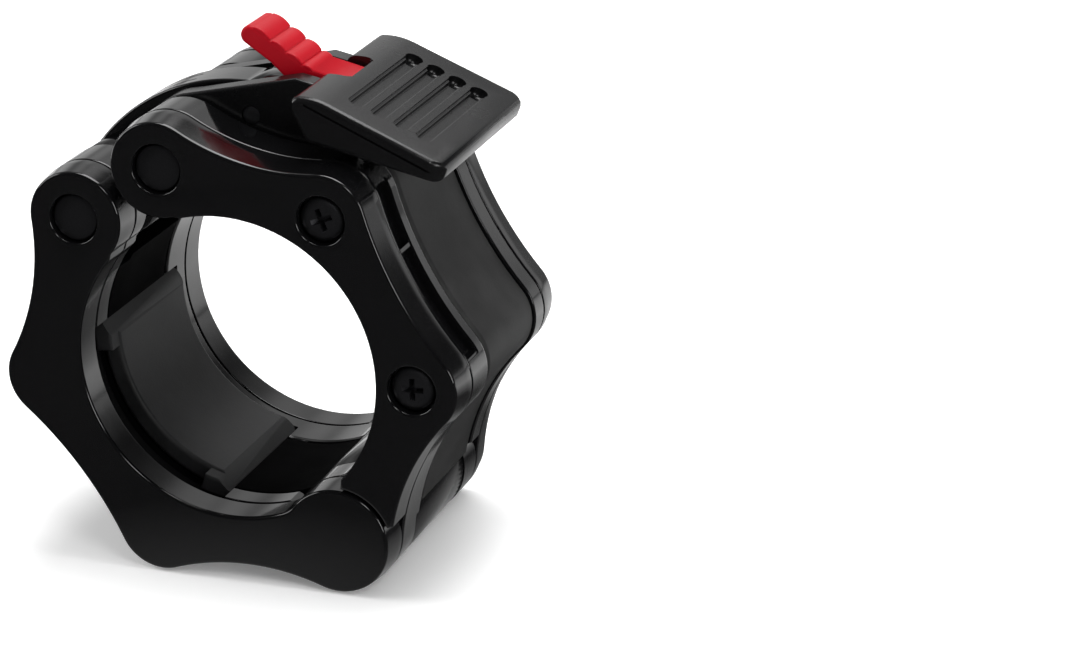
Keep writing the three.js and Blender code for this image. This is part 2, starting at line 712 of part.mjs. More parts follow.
// Materials
const glossBlack = { color: 0x151516, roughness: 0.22, metalness: 0 };
const satinBlack = { color: 0x2a2a2b, roughness: 0.5, metalness: 0 };
const rubber = { color: 0x2f2f30, roughness: 0.85, metalness: 0 };
const blackSteel = { color: 0x1d1d1e, roughness: 0.35, metalness: 0.8 };
const brightSteel = { color: 0xb8b8ba, roughness: 0.3, metalness: 1 };
const redPlastic = { color: 0xc01028, roughness: 0.45, metalness: 0 };

function piece(name, geometry, look) {
  const mesh = new THREE.Mesh(geometry, new THREE.MeshStandardMaterial(look));
  mesh.name = name;
  return mesh;
}

function made(name, manifold, look) {
  return piece(name, toGeometry(manifold), look);
}

// Assembly
// One jaw is built once and used twice: the left jaw is the right one turned half round
// about the upright line through the mouth, so its screws face the back.
function jaw(side, front, back, bayAngle) {
  const group = new THREE.Group();
  group.add(made(`${side}_${front}_cover`, screwCover(), glossBlack));
  group.add(made(`${side}_${front}_shell`, knuckleShell(), glossBlack));
  group.add(made(`${side}_core`, core(bayAngle), glossBlack));
  group.add(made(`${side}_grip`, grip(bayAngle), rubber));
  group.add(made(`${side}_pad`, pad(), rubber));
  group.add(made(`${side}_${back}_shell`, earShell(bayAngle), glossBlack));
  group.add(made(`${side}_${back}_cover`, hingeCover(), glossBlack));
  group.add(made(`${side}_screw_lower`, screw(lowerLobe), blackSteel));
  group.add(made(`${side}_screw_upper`, screw(upperLobe), blackSteel));
  return group;
}

const pinEnd = halfDepth - pinSink;
const hingePinEnd = halfDepth - hingePinCover;

const jaws = new THREE.Group();
jaws.rotation.y = -leanAngle;
jaws.add(jaw('right', 'front', 'rear', rightBayAngle));
const leftJaw = jaw('left', 'rear', 'front', leftBayAngle);
leftJaw.rotation.z = Math.PI;
jaws.add(leftJaw);
jaws.add(made('hinge_pin', rod(hingeCentre, hingePinRadius, -hingePinEnd, hingePinEnd), brightSteel));
const sleeveEnd = knuckleInner - seatGap;
jaws.add(made('hinge_sleeve', rod(hingeCentre, sleeveRadius, -sleeveEnd, sleeveEnd)
  .subtract(rod(hingeCentre, hingePinRadius + seatGap, -halfDepth, halfDepth)), glossBlack));
jaws.add(made('lever_pin', rod(rightPin, pinRadius, -pinEnd, pinEnd), blackSteel));
jaws.add(made('link_pin', rod(leftPin, pinRadius, -pinEnd, pinEnd), blackSteel));

const toggle = new THREE.Group();
toggle.position.set(leverAt.x, 0, leverAt.y);
toggle.add(made('lever', lever(), satinBlack));
toggle.add(made('toggle_pin', rod(toggleAt, togglePinRadius, -cheekOuter, cheekOuter), brightSteel));
toggle.add(made('tab_pin', rod(tabAt, tabPinRadius, -cheekOuter, cheekOuter), brightSteel));
toggle.add(made('release_bar', rod(releaseBarAt, releaseBarRadius, -bayHalf + seatGap, bayHalf - seatGap), brightSteel));
const tab = made('release_tab', releaseTab(), redPlastic);
tab.position.set(tabAt.x, 0, tabAt.y);
toggle.add(tab);
const coil = piece('tab_spring', spring(), brightSteel);
coil.position.set(tabAt.x, 0, tabAt.y);
toggle.add(coil);

const linkMesh = made('link', link(), glossBlack);
linkMesh.position.set(linkAt.x, 0, linkAt.y);
linkMesh.rotation.y = -toggleFromLink.angle();

// The origin lies on the table under the middle of the collar's width and depth
const floorDrop = hingeCircle * Math.cos(leanAngle) + hingeBossRadius;
const rightReach = standing(lowerLobe).x + lobeRadius;
const leftReach = standing(new THREE.Vector2(-upperLobe.x, upperLobe.y)).x - lobeRadius;

const collar = new THREE.Group();
collar.position.set(-(rightReach + leftReach) / 2, 0, floorDrop);
collar.add(jaws);
collar.add(toggle);
collar.add(linkMesh);

const group = new THREE.Group();
group.add(collar);

export default group;
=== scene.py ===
import math

import bmesh
import bpy
from mathutils import Matrix, Vector


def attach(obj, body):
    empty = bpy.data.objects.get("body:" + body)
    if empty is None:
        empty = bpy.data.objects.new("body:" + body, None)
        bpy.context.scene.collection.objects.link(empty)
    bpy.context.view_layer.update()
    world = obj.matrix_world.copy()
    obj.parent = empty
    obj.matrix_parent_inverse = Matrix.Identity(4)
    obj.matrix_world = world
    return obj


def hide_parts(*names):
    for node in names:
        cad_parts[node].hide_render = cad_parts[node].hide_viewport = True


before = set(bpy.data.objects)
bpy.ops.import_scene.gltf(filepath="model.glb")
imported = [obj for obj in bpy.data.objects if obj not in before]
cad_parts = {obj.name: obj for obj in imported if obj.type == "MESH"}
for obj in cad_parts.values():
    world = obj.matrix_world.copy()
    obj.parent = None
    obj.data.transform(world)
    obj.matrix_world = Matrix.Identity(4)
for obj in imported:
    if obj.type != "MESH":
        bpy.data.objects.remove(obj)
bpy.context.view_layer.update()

# Camera
# A long lens looks down at the collar from the front right, as the photograph does. Its
# place was worked out from the round bore, the pins and the boss at the foot.
camera_data = bpy.data.cameras.new("camera")
camera_data.lens = 118.106
camera_data.sensor_width = 36
camera_data.clip_start = 0.01
camera = bpy.data.objects.new("camera", camera_data)
camera.location = (0.226293, -0.528533, 0.248598)
camera.rotation_euler = [math.radians(angle) for angle in (69.7717, 0.6175, 18.5488)]
bpy.context.collection.objects.link(camera)
bpy.context.scene.camera = camera


# Floor, room and lamps
# The collar stands on a plain pale table in a white room. Soft lamps light it from above,
# from the left and from behind, and two smaller ones at the right draw lines on its edges.
def hex_colour(code):
    """The linear colour of an sRGB hex value."""
    channels = [int(code[i:i + 2], 16) / 255 for i in (0, 2, 4)]
    linear = [c / 12.92 if c <= 0.04045 else ((c + 0.055) / 1.055) ** 2.4 for c in channels]
    return (*linear, 1)


def add_node(tree, kind, settings=None, links=None):
    """Adds one node, sets its properties or input values, and links its inputs."""
    node = tree.nodes.new(kind)
    for name, value in (settings or {}).items():
        if isinstance(name, str) and hasattr(node, name):
            setattr(node, name, value)
        else:
            node.inputs[name].default_value = value
    for name, source in (links or {}).items():
        tree.links.new(source, node.inputs[name])
    return node


def blank_material(name):
    """A material with an empty node tree, and that tree."""
    material = bpy.data.materials.new(name)
    material.use_nodes = True
    material.node_tree.nodes.clear()
    return material, material.node_tree


# The camera sees plain white, and the light that falls on the pieces is an even dim white.
# What their gloss mirrors is dark in front and towards the upper right, brighter behind,
# and broken into soft patches, as by the walls and windows of a room.
world = bpy.data.worlds.new("white_room")
world.use_nodes = True
room = world.node_tree
room.nodes.clear()
rays = add_node(room, "ShaderNodeLightPath")
around = add_node(room, "ShaderNodeTexCoord").outputs["Generated"]
way = add_node(room, "ShaderNodeSeparateXYZ", {}, {0: around})
rise = add_node(room, "ShaderNodeMath", {"operation": "MULTIPLY_ADD", 1: 0.9},
                {0: way.outputs["X"], 2: way.outputs["Z"]})
low = add_node(room, "ShaderNodeMapRange",
               {"From Min": 0.5, "From Max": 0.75, "To Min": 0.5, "To Max": 0.08,
                "interpolation_type": "SMOOTHSTEP"}, {"Value": rise.outputs[0]})
behind = add_node(room, "ShaderNodeMapRange",
                  {"From Min": -0.3, "From Max": 0.3, "To Min": 0.08, "To Max": 1,
                   "interpolation_type": "SMOOTHSTEP"}, {"Value": way.outputs["Y"]})
patches = add_node(room, "ShaderNodeTexNoise", {"Scale": 2.6, "Detail": 1}, {"Vector": around})
panels = add_node(room, "ShaderNodeMapRange",
                  {"From Min": 0.4, "From Max": 0.6, "To Min": 0.45, "To Max": 1.5,
                   "interpolation_type": "SMOOTHSTEP"}, {"Value": patches.outputs["Fac"]})
shape = add_node(room, "ShaderNodeMath", {"operation": "MULTIPLY"},
                 {0: low.outputs[0], 1: behind.outputs[0]})
mirrored = add_node(room, "ShaderNodeMath", {"operation": "MULTIPLY"},
                    {0: shape.outputs[0], 1: panels.outputs[0]})
glossy = add_node(room, "ShaderNodeMath", {"operation": "MAXIMUM"},
                  {0: rays.outputs["Is Glossy Ray"], 1: rays.outputs["Is Transmission Ray"]})
soft = add_node(room, "ShaderNodeMix", {"data_type": "FLOAT", 2: 0.3},
                {0: glossy.outputs[0], 3: mirrored.outputs[0]})
level = add_node(room, "ShaderNodeMath", {"operation": "MAXIMUM"},
                 {0: soft.outputs[0], 1: rays.outputs["Is Camera Ray"]})
air = add_node(room, "ShaderNodeBackground", {"Color": hex_colour("ffffff")},
               {"Strength": level.outputs[0]})
add_node(room, "ShaderNodeOutputWorld", {}, {"Surface": air.outputs[0]})
bpy.context.scene.world = world
bpy.context.scene.view_settings.view_transform = "Standard"

# Matt off-white paint on the table. The camera sees it lifted towards white, with the
# shadow kept. In the pieces' gloss its front part is painted dark, as a painted reflection,
# and a faint painted glow lies round the foot.
table_paint, tree = blank_material("pale_table")
rays = add_node(tree, "ShaderNodeLightPath")
on_table = add_node(tree, "ShaderNodeNewGeometry").outputs["Position"]
spot = add_node(tree, "ShaderNodeSeparateXYZ", {}, {0: on_table})
# Painted reflection: to the pieces' gloss alone, the table's front is painted dark grey.
ahead = add_node(tree, "ShaderNodeMapRange", {"From Min": 0.12, "From Max": 0.05},
                 {"Value": spot.outputs["Y"]})
front = add_node(tree, "ShaderNodeMath", {"operation": "MULTIPLY"},
                 {0: ahead.outputs[0], 1: rays.outputs["Is Glossy Ray"]})
tone = add_node(tree, "ShaderNodeMix",
                {"data_type": "RGBA", 6: hex_colour("f4f4f4"), 7: hex_colour("404040")},
                {0: front.outputs[0]})
paint = add_node(tree, "ShaderNodeBsdfDiffuse", {}, {"Color": tone.outputs[2]})
pale = add_node(tree, "ShaderNodeMix",
                {"data_type": "RGBA", 6: hex_colour("000000"), 7: hex_colour("8f8f8f")},
                {0: rays.outputs["Is Camera Ray"]})
paler = add_node(tree, "ShaderNodeBsdfDiffuse", {}, {"Color": pale.outputs[2]})
# Painted light: a faint glow round the foot, seen only in the pieces' gloss, added to the camera's
# even lift.
away = add_node(tree, "ShaderNodeVectorMath", {"operation": "LENGTH"}, {0: on_table})
painted_glow_near_foot = add_node(tree, "ShaderNodeMapRange", {"From Min": 0.06, "From Max": 0.02, "To Max": 0.4},
                {"Value": away.outputs["Value"]})
painted_glow_in_gloss = add_node(tree, "ShaderNodeMath", {"operation": "MULTIPLY"},
                  {0: rays.outputs["Is Glossy Ray"], 1: painted_glow_near_foot.outputs[0]})
camera_lift_and_painted_glow = add_node(tree, "ShaderNodeMath", {"operation": "MULTIPLY_ADD", 1: 0.15},
                {0: rays.outputs["Is Camera Ray"], 2: painted_glow_in_gloss.outputs[0]})
glow = add_node(tree, "ShaderNodeEmission", {}, {"Strength": camera_lift_and_painted_glow.outputs[0]})
matt = add_node(tree, "ShaderNodeAddShader", {}, {0: paint.outputs[0], 1: paler.outputs[0]})
lifted = add_node(tree, "ShaderNodeAddShader", {}, {0: matt.outputs[0], 1: glow.outputs[0]})
add_node(tree, "ShaderNodeOutputMaterial", {}, {"Surface": lifted.outputs[0]})

table_top = bmesh.new()
bmesh.ops.create_circle(table_top, segments=64, radius=3, cap_ends=True)
table_mesh = bpy.data.meshes.new("table")
table_top.to_mesh(table_mesh)
table_top.free()
table_mesh.materials.append(table_paint)
table = bpy.data.objects.new("table", table_mesh)
bpy.context.collection.objects.link(table)

collar_middle = Vector((0, 0, 0.045))
for name, place, size, power in (
        ("top_lamp", (0.05, 0.1, 0.75), (0.5, 0.4), 4),
        ("left_lamp", (-0.75, -0.15, 0.4), (0.4, 0.5), 2.5),
        ("edge_lamp", (0.5, -0.6, 0.7), (0.25, 0.25), 1.4),
        ("side_lamp", (0.85, -0.38, 0.22), (0.3, 0.35), 2),
        ("rear_lamp", (0.1, 0.6, 0.8), (0.6, 0.3), 2.5)):
    lamp_data = bpy.data.lights.new(name, "AREA")
    lamp_data.shape = "RECTANGLE"
    lamp_data.size, lamp_data.size_y = size
    lamp_data.energy = power
    lamp = bpy.data.objects.new(name, lamp_data)
    lamp.location = place
    aim = collar_middle - Vector(place)
    lamp.rotation_euler = aim.to_track_quat("-Z", "Y").to_euler()
    bpy.context.collection.objects.link(lamp)


# Screw covers
# A flat outer plate on each jaw, injection moulded in black ABS with a polished face and a
# slightly tapered flank. It is sunk for two cross-head screws and for the end of the
# toggle's pin, and stops bluntly at the other jaw's hinge boss.
MM = 0.001
DEG = math.pi / 180


def at_angle(radius, angle):
    """A point round the bore, by its distance and its angle counted from the hinge."""
    return Vector((radius * math.sin(angle * DEG), -radius * math.cos(angle * DEG)))


# A jaw is drawn in millimetres, upright over its hinge, with the bore's centre at the
# origin, and then leans as the closed collar does. Depths run along the bar to the rear.
BORE = Vector((0, 0))
lean = 32.9626
bore_at = Vector((-0.19186, 38.49351))
lip_radius = 26.55
hinge_at, hinge_boss, boss_room = Vector((0, -34.58)), 9.48, 9.78
screw_circle, lobe_radius = 32.9, 8.4
lower_lobe, upper_lobe = at_angle(screw_circle, 56.8), at_angle(screw_circle, 114.2)
pin_circle, pin_angle, pin_boss = 35.5, 164.91, 8.5
pin_at = at_angle(pin_circle, pin_angle)
flank_hollows = (40, 66, 40)
pin_hole, head_hole, shank_hole = 4.3, 4.2, 2.2


def bearing(centre, point):
    """The direction of a point as seen from a centre."""
    return math.atan2(point.y - centre.y, point.x - centre.x)


def run(centre, radius, start, end, turn):
    """An arc for an outline: about a centre, between two bearings, turning one way."""
    sweep = end - start
    while turn * sweep <= 1e-9:
        sweep += turn * 2 * math.pi
    while turn * sweep > 2 * math.pi + 1e-9:
        sweep -= turn * 2 * math.pi
    return centre, radius, start, sweep


def flank_runs(inset=0):
    """The six arcs round the outside of a jaw, from the hinge boss to the pin boss: three
    hollows and the three rounds that follow them."""
    rounds = [(hinge_at, hinge_boss - inset), (lower_lobe, lobe_radius - inset),
              (upper_lobe, lobe_radius - inset), (pin_at, pin_boss - inset)]
    centres = []
    for reach, (a, ra), (b, rb) in zip(flank_hollows, rounds, rounds[1:]):
        far_a, far_b, gap = reach + inset + ra, reach + inset + rb, (b - a).length
        along = (far_a ** 2 - far_b ** 2 + gap ** 2) / (2 * gap)
        off = math.sqrt(far_a ** 2 - along ** 2)
        way = (b - a) / gap
        centres.append(a + way * along + Vector((way.y, -way.x)) * off)
    runs = []
    for i, hollow in enumerate(centres):
        start, (end, radius) = rounds[i][0], rounds[i + 1]
        following = centres[i + 1] if i < 2 else BORE
        runs.append(run(hollow, flank_hollows[i] + inset, bearing(hollow, start),
                        bearing(hollow, end), -1))
        runs.append(run(end, radius, bearing(end, hollow), bearing(end, following), 1))
    return runs


def crossing(start, way, centre, radius):
    """How far ahead a ray from a start point first meets a circle."""
    to = start - centre
    middle, rest = to.dot(way), to.length_squared - radius ** 2
    root = math.sqrt(middle ** 2 - rest)
    return min(step for step in (-middle - root, -middle + root) if step > 0)


def lip_run(end):
    """The lip's arc round the bore, from just short of the pin to a bearing near the hinge."""
    start = pin_angle - 2
    return run(BORE, lip_radius, (start - 90) * DEG, end, -1)


def plate_runs():
    """The outline of a plate whose blunt end follows the other jaw's hinge boss, between
    two angles round the hinge that are counted from straight up."""
    inner_end, outer_end = 38.4, 101
    inward, outward = (Vector((math.sin(angle * DEG), math.cos(angle * DEG)))
                       for angle in (inner_end, outer_end))
    runs = flank_runs()
    hollow, reach, first, sweep = runs[0]
    outer = hinge_at + outward * crossing(hinge_at, outward, hollow, reach)
    inner = hinge_at + inward * crossing(hinge_at, inward, BORE, lip_radius)
    runs[0] = run(hollow, reach, bearing(hollow, outer), first + sweep, -1)
    runs.append(lip_run(bearing(BORE, inner)))
    runs.append(run(hinge_at, boss_room, (90 - inner_end) * DEG, (90 - outer_end) * DEG, -1))
    return runs


def boss_runs(nook_radius=5):
    """The outline of a plate or shell that carries the hinge boss. A small hollow, the
    nook, joins the boss to the lip."""
    runs = flank_runs()
    from_bore, from_boss, gap = lip_radius - nook_radius, hinge_boss + nook_radius, -hinge_at.y
    height = (from_bore ** 2 - from_boss ** 2 + gap ** 2) / (2 * gap)
    nook = Vector((math.sqrt(from_bore ** 2 - height ** 2), -height))
    out = bearing(BORE, nook)
    runs.append(lip_run(out))
    runs.append(run(nook, nook_radius, out, bearing(nook, hinge_at), -1))
    runs.append(run(hinge_at, hinge_boss, bearing(hinge_at, nook), runs[0][2] + math.pi, 1))
    return runs


def wire(bm, runs, y):
    """Draws an outline at one depth, arc by arc with a spun point, and returns its face.
    A small arc turns 4.5 degrees at a step, and a wide one 2.2."""
    first = last = None
    for centre, radius, start, sweep in runs:
        point = (centre.x + radius * math.cos(start), y, centre.y + radius * math.sin(start))
        vert = bm.verts.new(point)
        if last:
            bm.edges.new((last, vert))
        first = first or vert
        step = 4.5 if radius < 12 else 2.2
        count = max(2, math.ceil(abs(sweep) / DEG / step))
        spun = bmesh.ops.spin(bm, geom=[vert], cent=(centre.x, y, centre.y), axis=(0, -1, 0),
                              angle=sweep, steps=count, use_duplicate=False)
        last = spun["geom_last"][0]
    bm.edges.new((last, first))
    bmesh.ops.remove_doubles(bm, verts=bm.verts, dist=0.01)
    return bmesh.ops.contextual_create(bm, geom=bm.edges[:])["faces"][0]


def ring_width(radius):
    """The width of the narrow flat ring on either side of a rounded rim."""
    return min(0.08, radius / 3)


def ease(bm, cap, radius, bands=3):
    """Rounds the rim of a flat face: bands that follow a quarter circle, between two
    narrow flat rings that keep the shading of the face and of the wall clean."""
    ring = ring_width(radius)
    bmesh.ops.inset_region(bm, faces=[cap], thickness=0, depth=ring, use_even_offset=True)
    for band in range(bands):
        a, b = (math.pi / 2 * (band + k) / bands for k in (0, 1))
        bmesh.ops.inset_region(bm, faces=[cap], thickness=radius * (math.cos(a) - math.cos(b)),
                               depth=radius * (math.sin(b) - math.sin(a)), use_even_offset=True)
    bmesh.ops.inset_region(bm, faces=[cap], thickness=ring, depth=0, use_even_offset=True)


def stretch(bm, cap, y):
    """Extrudes a flat face along the bar to a depth, and returns the face there."""
    new = bmesh.ops.extrude_face_region(bm, geom=[cap])["geom"]
    cap = next(part for part in new if isinstance(part, bmesh.types.BMFace))
    bmesh.ops.translate(bm, verts=cap.verts, vec=(0, y - cap.verts[0].co.y, 0))
    return cap


def draw_in(cap, runs, amount):
    """Draws the corners of a face in across its arcs. The amount grows over the first arc
    and fades out over the last, so that the bore keeps its edge."""
    off_arc, past_end = 0.02, 0.001
    drawn = set()
    for i, (centre, radius, first, sweep) in enumerate(runs):
        way = math.copysign(1, sweep)
        for vert in cap.verts:
            arm = Vector((vert.co.x, vert.co.z)) - centre
            turn = ((math.atan2(arm.y, arm.x) - first) * way + past_end) % (2 * math.pi)
            on_arc = abs(arm.length - radius) <= off_arc and turn <= abs(sweep) + 2 * past_end
            if vert in drawn or not on_arc:
                continue
            part = min(1, turn / abs(sweep))
            fade = {0: part, len(runs) - 1: 1 - part}.get(i, 1)
            arm *= 1 - way * amount * fade / arm.length
            vert.co.x, vert.co.z = centre.x + arm.x, centre.y + arm.y
            drawn.add(vert)


def slab(runs, front, back, front_rim=0.3, back_rim=0.3, taper=None):
    """A flat-faced moulding: an outline stretched along the bar, with rounded rims. A taper
    gives the length of flank that is drawn in, how far, and at which face, 1 or -1."""
    bm = bmesh.new()
    near = front + front_rim + ring_width(front_rim)
    far = back - back_rim - ring_width(back_rim)
    length, draw, side = taper or (0, 0, -1)
    start, end = (near, far) if side > 0 else (far, near)
    cap = wire(bm, runs, start)
    if taper:
        middle = stretch(bm, cap, end + math.copysign(length, start - end))
        # The six arcs of the flank, after the arc of the boss where the outline has one
        flank = runs[:6] if runs[-1][3] < 0 else runs[-1:] + runs[:6]
        draw_in(stretch(bm, middle, end), flank, draw)
        if middle.is_valid:
            bmesh.ops.delete(bm, geom=[middle], context="FACES_ONLY")
    else:
        stretch(bm, cap, end)
    bmesh.ops.recalc_face_normals(bm, faces=bm.faces)
    # Only the two flat ends have more than four corners
    caps = sorted((f for f in bm.faces if len(f.verts) > 4), key=lambda f: f.verts[0].co.y)
    ease(bm, caps[0], front_rim)
    ease(bm, caps[1], back_rim)
    return bm


def turned(centre, profile, steps=48, tube=False):
    """A turned shape along the bar, from pairs of depth and radius. A solid one starts and
    ends on the axis, and a tube closes on itself."""
    bm = bmesh.new()
    verts = [bm.verts.new((centre.x + radius, y, centre.y)) for y, radius in profile]
    edges = [bm.edges.new(pair) for pair in zip(verts, verts[1:] + verts[:1 if tube else 0])]
    bmesh.ops.spin(bm, geom=verts + edges, cent=(centre.x, 0, centre.y), axis=(0, 1, 0),
                   angle=2 * math.pi, steps=steps, use_merge=True)
    bmesh.ops.remove_doubles(bm, verts=bm.verts, dist=0.0005)
    bmesh.ops.recalc_face_normals(bm, faces=bm.faces)
    return bm


def drill(centre, radius, start, end, flare=0.0, mouth=None, steps=48):
    """A cutter for a round hole. With a mouth, the hole's edge there is rounded outwards."""
    if mouth is None:
        return turned(centre, [(start, 0), (start, radius), (end, radius), (end, 0)], steps)
    way = -1 if mouth < (start + end) / 2 else 1
    deep, clear = start if way > 0 else end, mouth + way * 2
    curve = [(mouth - way * flare * (1 - math.sin(a * DEG)),
              radius + flare * (1 - math.cos(a * DEG))) for a in (0, 30, 60, 90)]
    return turned(centre, [(deep, 0), (deep, radius), *curve, (clear, radius + flare),
                           (clear, 0)], steps)


def shank_drills(start, end):
    """Cutters for the shanks of a jaw's two screws."""
    return [drill(lobe, shank_hole, start, end) for lobe in (lower_lobe, upper_lobe)]


def put_together(base, tools, operation="DIFFERENCE"):
    """Cuts tools out of a shape, or joins them to it, one after another."""
    for tool in tools:
        objects = []
        for shape in (base, tool):
            mesh = bpy.data.meshes.new("work")
            shape.to_mesh(mesh)
            shape.free()
            objects.append(bpy.data.objects.new("work", mesh))
            bpy.context.collection.objects.link(objects[-1])
        change = objects[0].modifiers.new("work", "BOOLEAN")
        change.operation = operation
        change.solver = "EXACT"
        change.object = objects[1]
        done = objects[0].evaluated_get(bpy.context.evaluated_depsgraph_get())
        base = bmesh.new()
        base.from_mesh(done.to_mesh())
        done.to_mesh_clear()
        for work in objects:
            mesh = work.data
            bpy.data.objects.remove(work)
            bpy.data.meshes.remove(mesh)
    return base


def swing(bm, angle, axis, about=(0, 0, 0)):
    """Turns a whole shape round a line through a point."""
    bmesh.ops.rotate(bm, verts=bm.verts, cent=about, matrix=Matrix.Rotation(angle, 3, axis))


def move(bm, x, y, z):
    """Moves a whole shape."""
    bmesh.ops.translate(bm, verts=bm.verts, vec=(x, y, z))


def finish_piece(bm, name, body, node, material, sharp=32):
    """Makes the object of a piece, in metres, shades it smooth up to an angle, and puts it
    on its body in place of its CAD node."""
    bmesh.ops.scale(bm, verts=bm.verts, vec=(MM, MM, MM))
    mesh = bpy.data.meshes.new(name)
    bm.to_mesh(mesh)
    bm.free()
    for polygon in mesh.polygons:
        polygon.use_smooth = True
    mesh.set_sharp_from_angle(angle=sharp * DEG)
    mesh.materials.clear()
    mesh.materials.append(material)
    piece = bpy.data.objects.new(name, mesh)
    bpy.context.collection.objects.link(piece)
    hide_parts(node)
    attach(piece, body)


def seat(bm, side):
    """Turns a shape from the drawing plane of a jaw to where it stands. The left jaw's
    pieces are the right jaw's, turned end for end."""
    if side == "left":
        swing(bm, math.pi, "Z")
    swing(bm, -lean * DEG, "Y")
    move(bm, bore_at.x, 0, bore_at.y)


def finish_on_jaw(bm, side, name, node, material, sharp=32):
    """Seats a piece in a jaw and finishes it there."""
    seat(bm, side)
    finish_piece(bm, name, f"{side}_jaw", node, material, sharp)


def brighter(colour, factor):
    """The linear colour of an sRGB hex value, brightened by a factor."""
    return [min(1, channel * factor) for channel in hex_colour(colour)]


def moulded_abs(name, colour, roughness, haze, wave_mm, level):
    """Injection-moulded ABS: one dark tone with a faint haze, over a moulding's slow waves."""
    material, tree = blank_material(name)
    spot = add_node(tree, "ShaderNodeTexCoord").outputs["Object"]
    cloud = add_node(tree, "ShaderNodeTexNoise",
                     {"Scale": 1 / (9 * MM), "Detail": 5, "Roughness": 0.6}, {"Vector": spot})
    gloss = add_node(tree, "ShaderNodeMapRange",
                     {"From Min": 0.35, "From Max": 0.7, "To Min": roughness,
                      "To Max": roughness + haze}, {"Value": cloud.outputs["Fac"]})
    ripple = add_node(tree, "ShaderNodeTexNoise", {"Scale": 1 / (wave_mm * MM), "Detail": 2},
                      {"Vector": spot})
    relief = add_node(tree, "ShaderNodeBump", {"Strength": 0.35, "Distance": 0.05 * MM},
                      {"Height": ripple.outputs["Fac"]})
    tint = add_node(tree, "ShaderNodeMix",
                    {"data_type": "RGBA", 6: hex_colour(colour), 7: brighter(colour, 1.35)},
                    {0: cloud.outputs["Fac"]})
    surface = add_node(tree, "ShaderNodeBsdfPrincipled", {"IOR": 1.53, "Specular IOR Level": level},
                       {"Base Color": tint.outputs[2], "Roughness": gloss.outputs[0],
                        "Normal": relief.outputs[0]})
    add_node(tree, "ShaderNodeOutputMaterial", {}, {"Surface": surface.outputs[0]})
    return material


# Polished black ABS: near black all over, it mirrors the room like a slightly wavy glass,
# with a fine haze where it has been handled.
polished_abs = moulded_abs("polished_black_abs", "0a0a0b", roughness=0.07, haze=0.06,
                           wave_mm=6, level=0.5)

face, cover_back, head_seat = 25, 18.8, 22
face_rim, seam_rim, taper_length, taper_draw = 0.55, 0.2, 3.4, 0.55
past_face, past_back = 26, 17
for side, where in (("right", "front"), ("left", "rear")):
    cover = slab(plate_runs(), -face, -cover_back, face_rim, seam_rim,
                 (taper_length, taper_draw, -1))
    cuts = [drill(pin_at, pin_hole, -past_face, -past_back, 0.35, -face)]
    for lobe in (lower_lobe, upper_lobe):
        cuts.append(drill(lobe, head_hole, -past_face, -head_seat, 0.4, -face))
        cuts.append(drill(lobe, shank_hole, -head_seat - 1, -past_back))
    cover = put_together(cover, cuts)
    finish_on_jaw(cover, side, f"{side}_screw_cover", f"{side}_{where}_cover", polished_abs)


# Knuckle shells
# A thick moulded shell behind each screw cover. It carries one knuckle of the hinge, the
# rounded lip that stands beside the pad, and a long finger recess in its flank that one
# thin rib crosses.
shell_face, knuckle_back = 18.5, 9.8
barrel_room, hinge_hole = 9.8, 3.8
# Cuts that run right through a layer reach past the bore, the flank and both its faces
inside, outside = 20, 60
through_knuckle = (-22, -5)


def sector(start, end, inner, outer):
    """The outline of a slice of a ring, between two angles counted from the hinge."""
    a, b = (start - 90) * DEG, (end - 90) * DEG
    return [run(BORE, outer, a, b, 1), run(BORE, inner, b, a, -1)]


def inset_jaw(inset):
    """The outline of a whole jaw drawn in from its flank, closed in the bore."""
    return flank_runs(inset) + [run(BORE, 1, 60 * DEG, 0, -1)]


def flank_cut(start, end, front, back, floor):
    """A cutter for a recess in the flank, with a floor at an even depth under it."""
    recess = slab(sector(start, end, lip_radius, outside), front, back)
    return put_together(recess, [slab(inset_jaw(floor), *through_knuckle)])


pad_pocket = sector(42, 128, inside, 28.55)
for side, where in (("right", "front"), ("left", "rear")):
    shell = slab(boss_runs(), -shell_face, -knuckle_back, 0.35, 1.4)
    rib = slab(sector(92.7, 93.7, inside, outside), *through_knuckle)
    recess = put_together(flank_cut(62, 109, -17.9, -13.5, 1.5), [rib])
    sunk_rim = flank_cut(61.6, 109.4, -18.13, -13.2, 0.22)
    cuts = [recess, sunk_rim, slab(pad_pocket, -15.1, -5),
            drill(hinge_at, barrel_room, -12.4, -5),
            drill(hinge_at, hinge_hole, *through_knuckle),
            drill(pin_at, pin_hole, *through_knuckle)]
    shell = put_together(shell, cuts + shank_drills(*through_knuckle))
    finish_on_jaw(shell, side, f"{side}_knuckle_shell", f"{side}_{where}_shell", polished_abs)


# Cores
# The load-bearing middle of each jaw, moulded in the same ABS and coloured near black and
# dull as painted shade. It holds the pad's pocket, and its thin floor closes the bay that
# the toggle folds into.
core_front, core_back, through_core = -9.5, 13.7, (-14, 18)
hinge_end, mouth_end, past_mouth = 4, 152, 200
bay_angles, bay_floor, ear_room = {"right": 121.5, "left": 149.5}, 29.75, 9.5

# Painted shade: black ABS drawn darker and dull, without a mirror, so that the bay and the
# pockets stay deep black, as they are in shade.
painted_shade_abs = moulded_abs("painted_shade_black_abs", "020203", roughness=0.8, haze=0.1, wave_mm=4,
                        level=0.03)

for side in ("right", "left"):
    bay = bay_angles[side]
    lip = run(BORE, lip_radius, (pin_angle - 90) * DEG, (hinge_end - 90) * DEG, -1)
    core = slab(flank_runs(3.3) + [lip], core_front, core_back, 0.2, 0.2)
    cuts = [drill(hinge_at, barrel_room, *through_core), slab(pad_pocket, *through_core),
            slab(sector(bay, past_mouth, bay_floor, outside), *through_core),
            slab(sector(bay, past_mouth, inside, outside), ear_room, 18),
            slab(sector(mouth_end, past_mouth, inside, outside), *through_core)]
    core = put_together(core, cuts + shank_drills(*through_core))
    finish_on_jaw(core, side, f"{side}_core_moulding", f"{side}_core", painted_shade_abs)


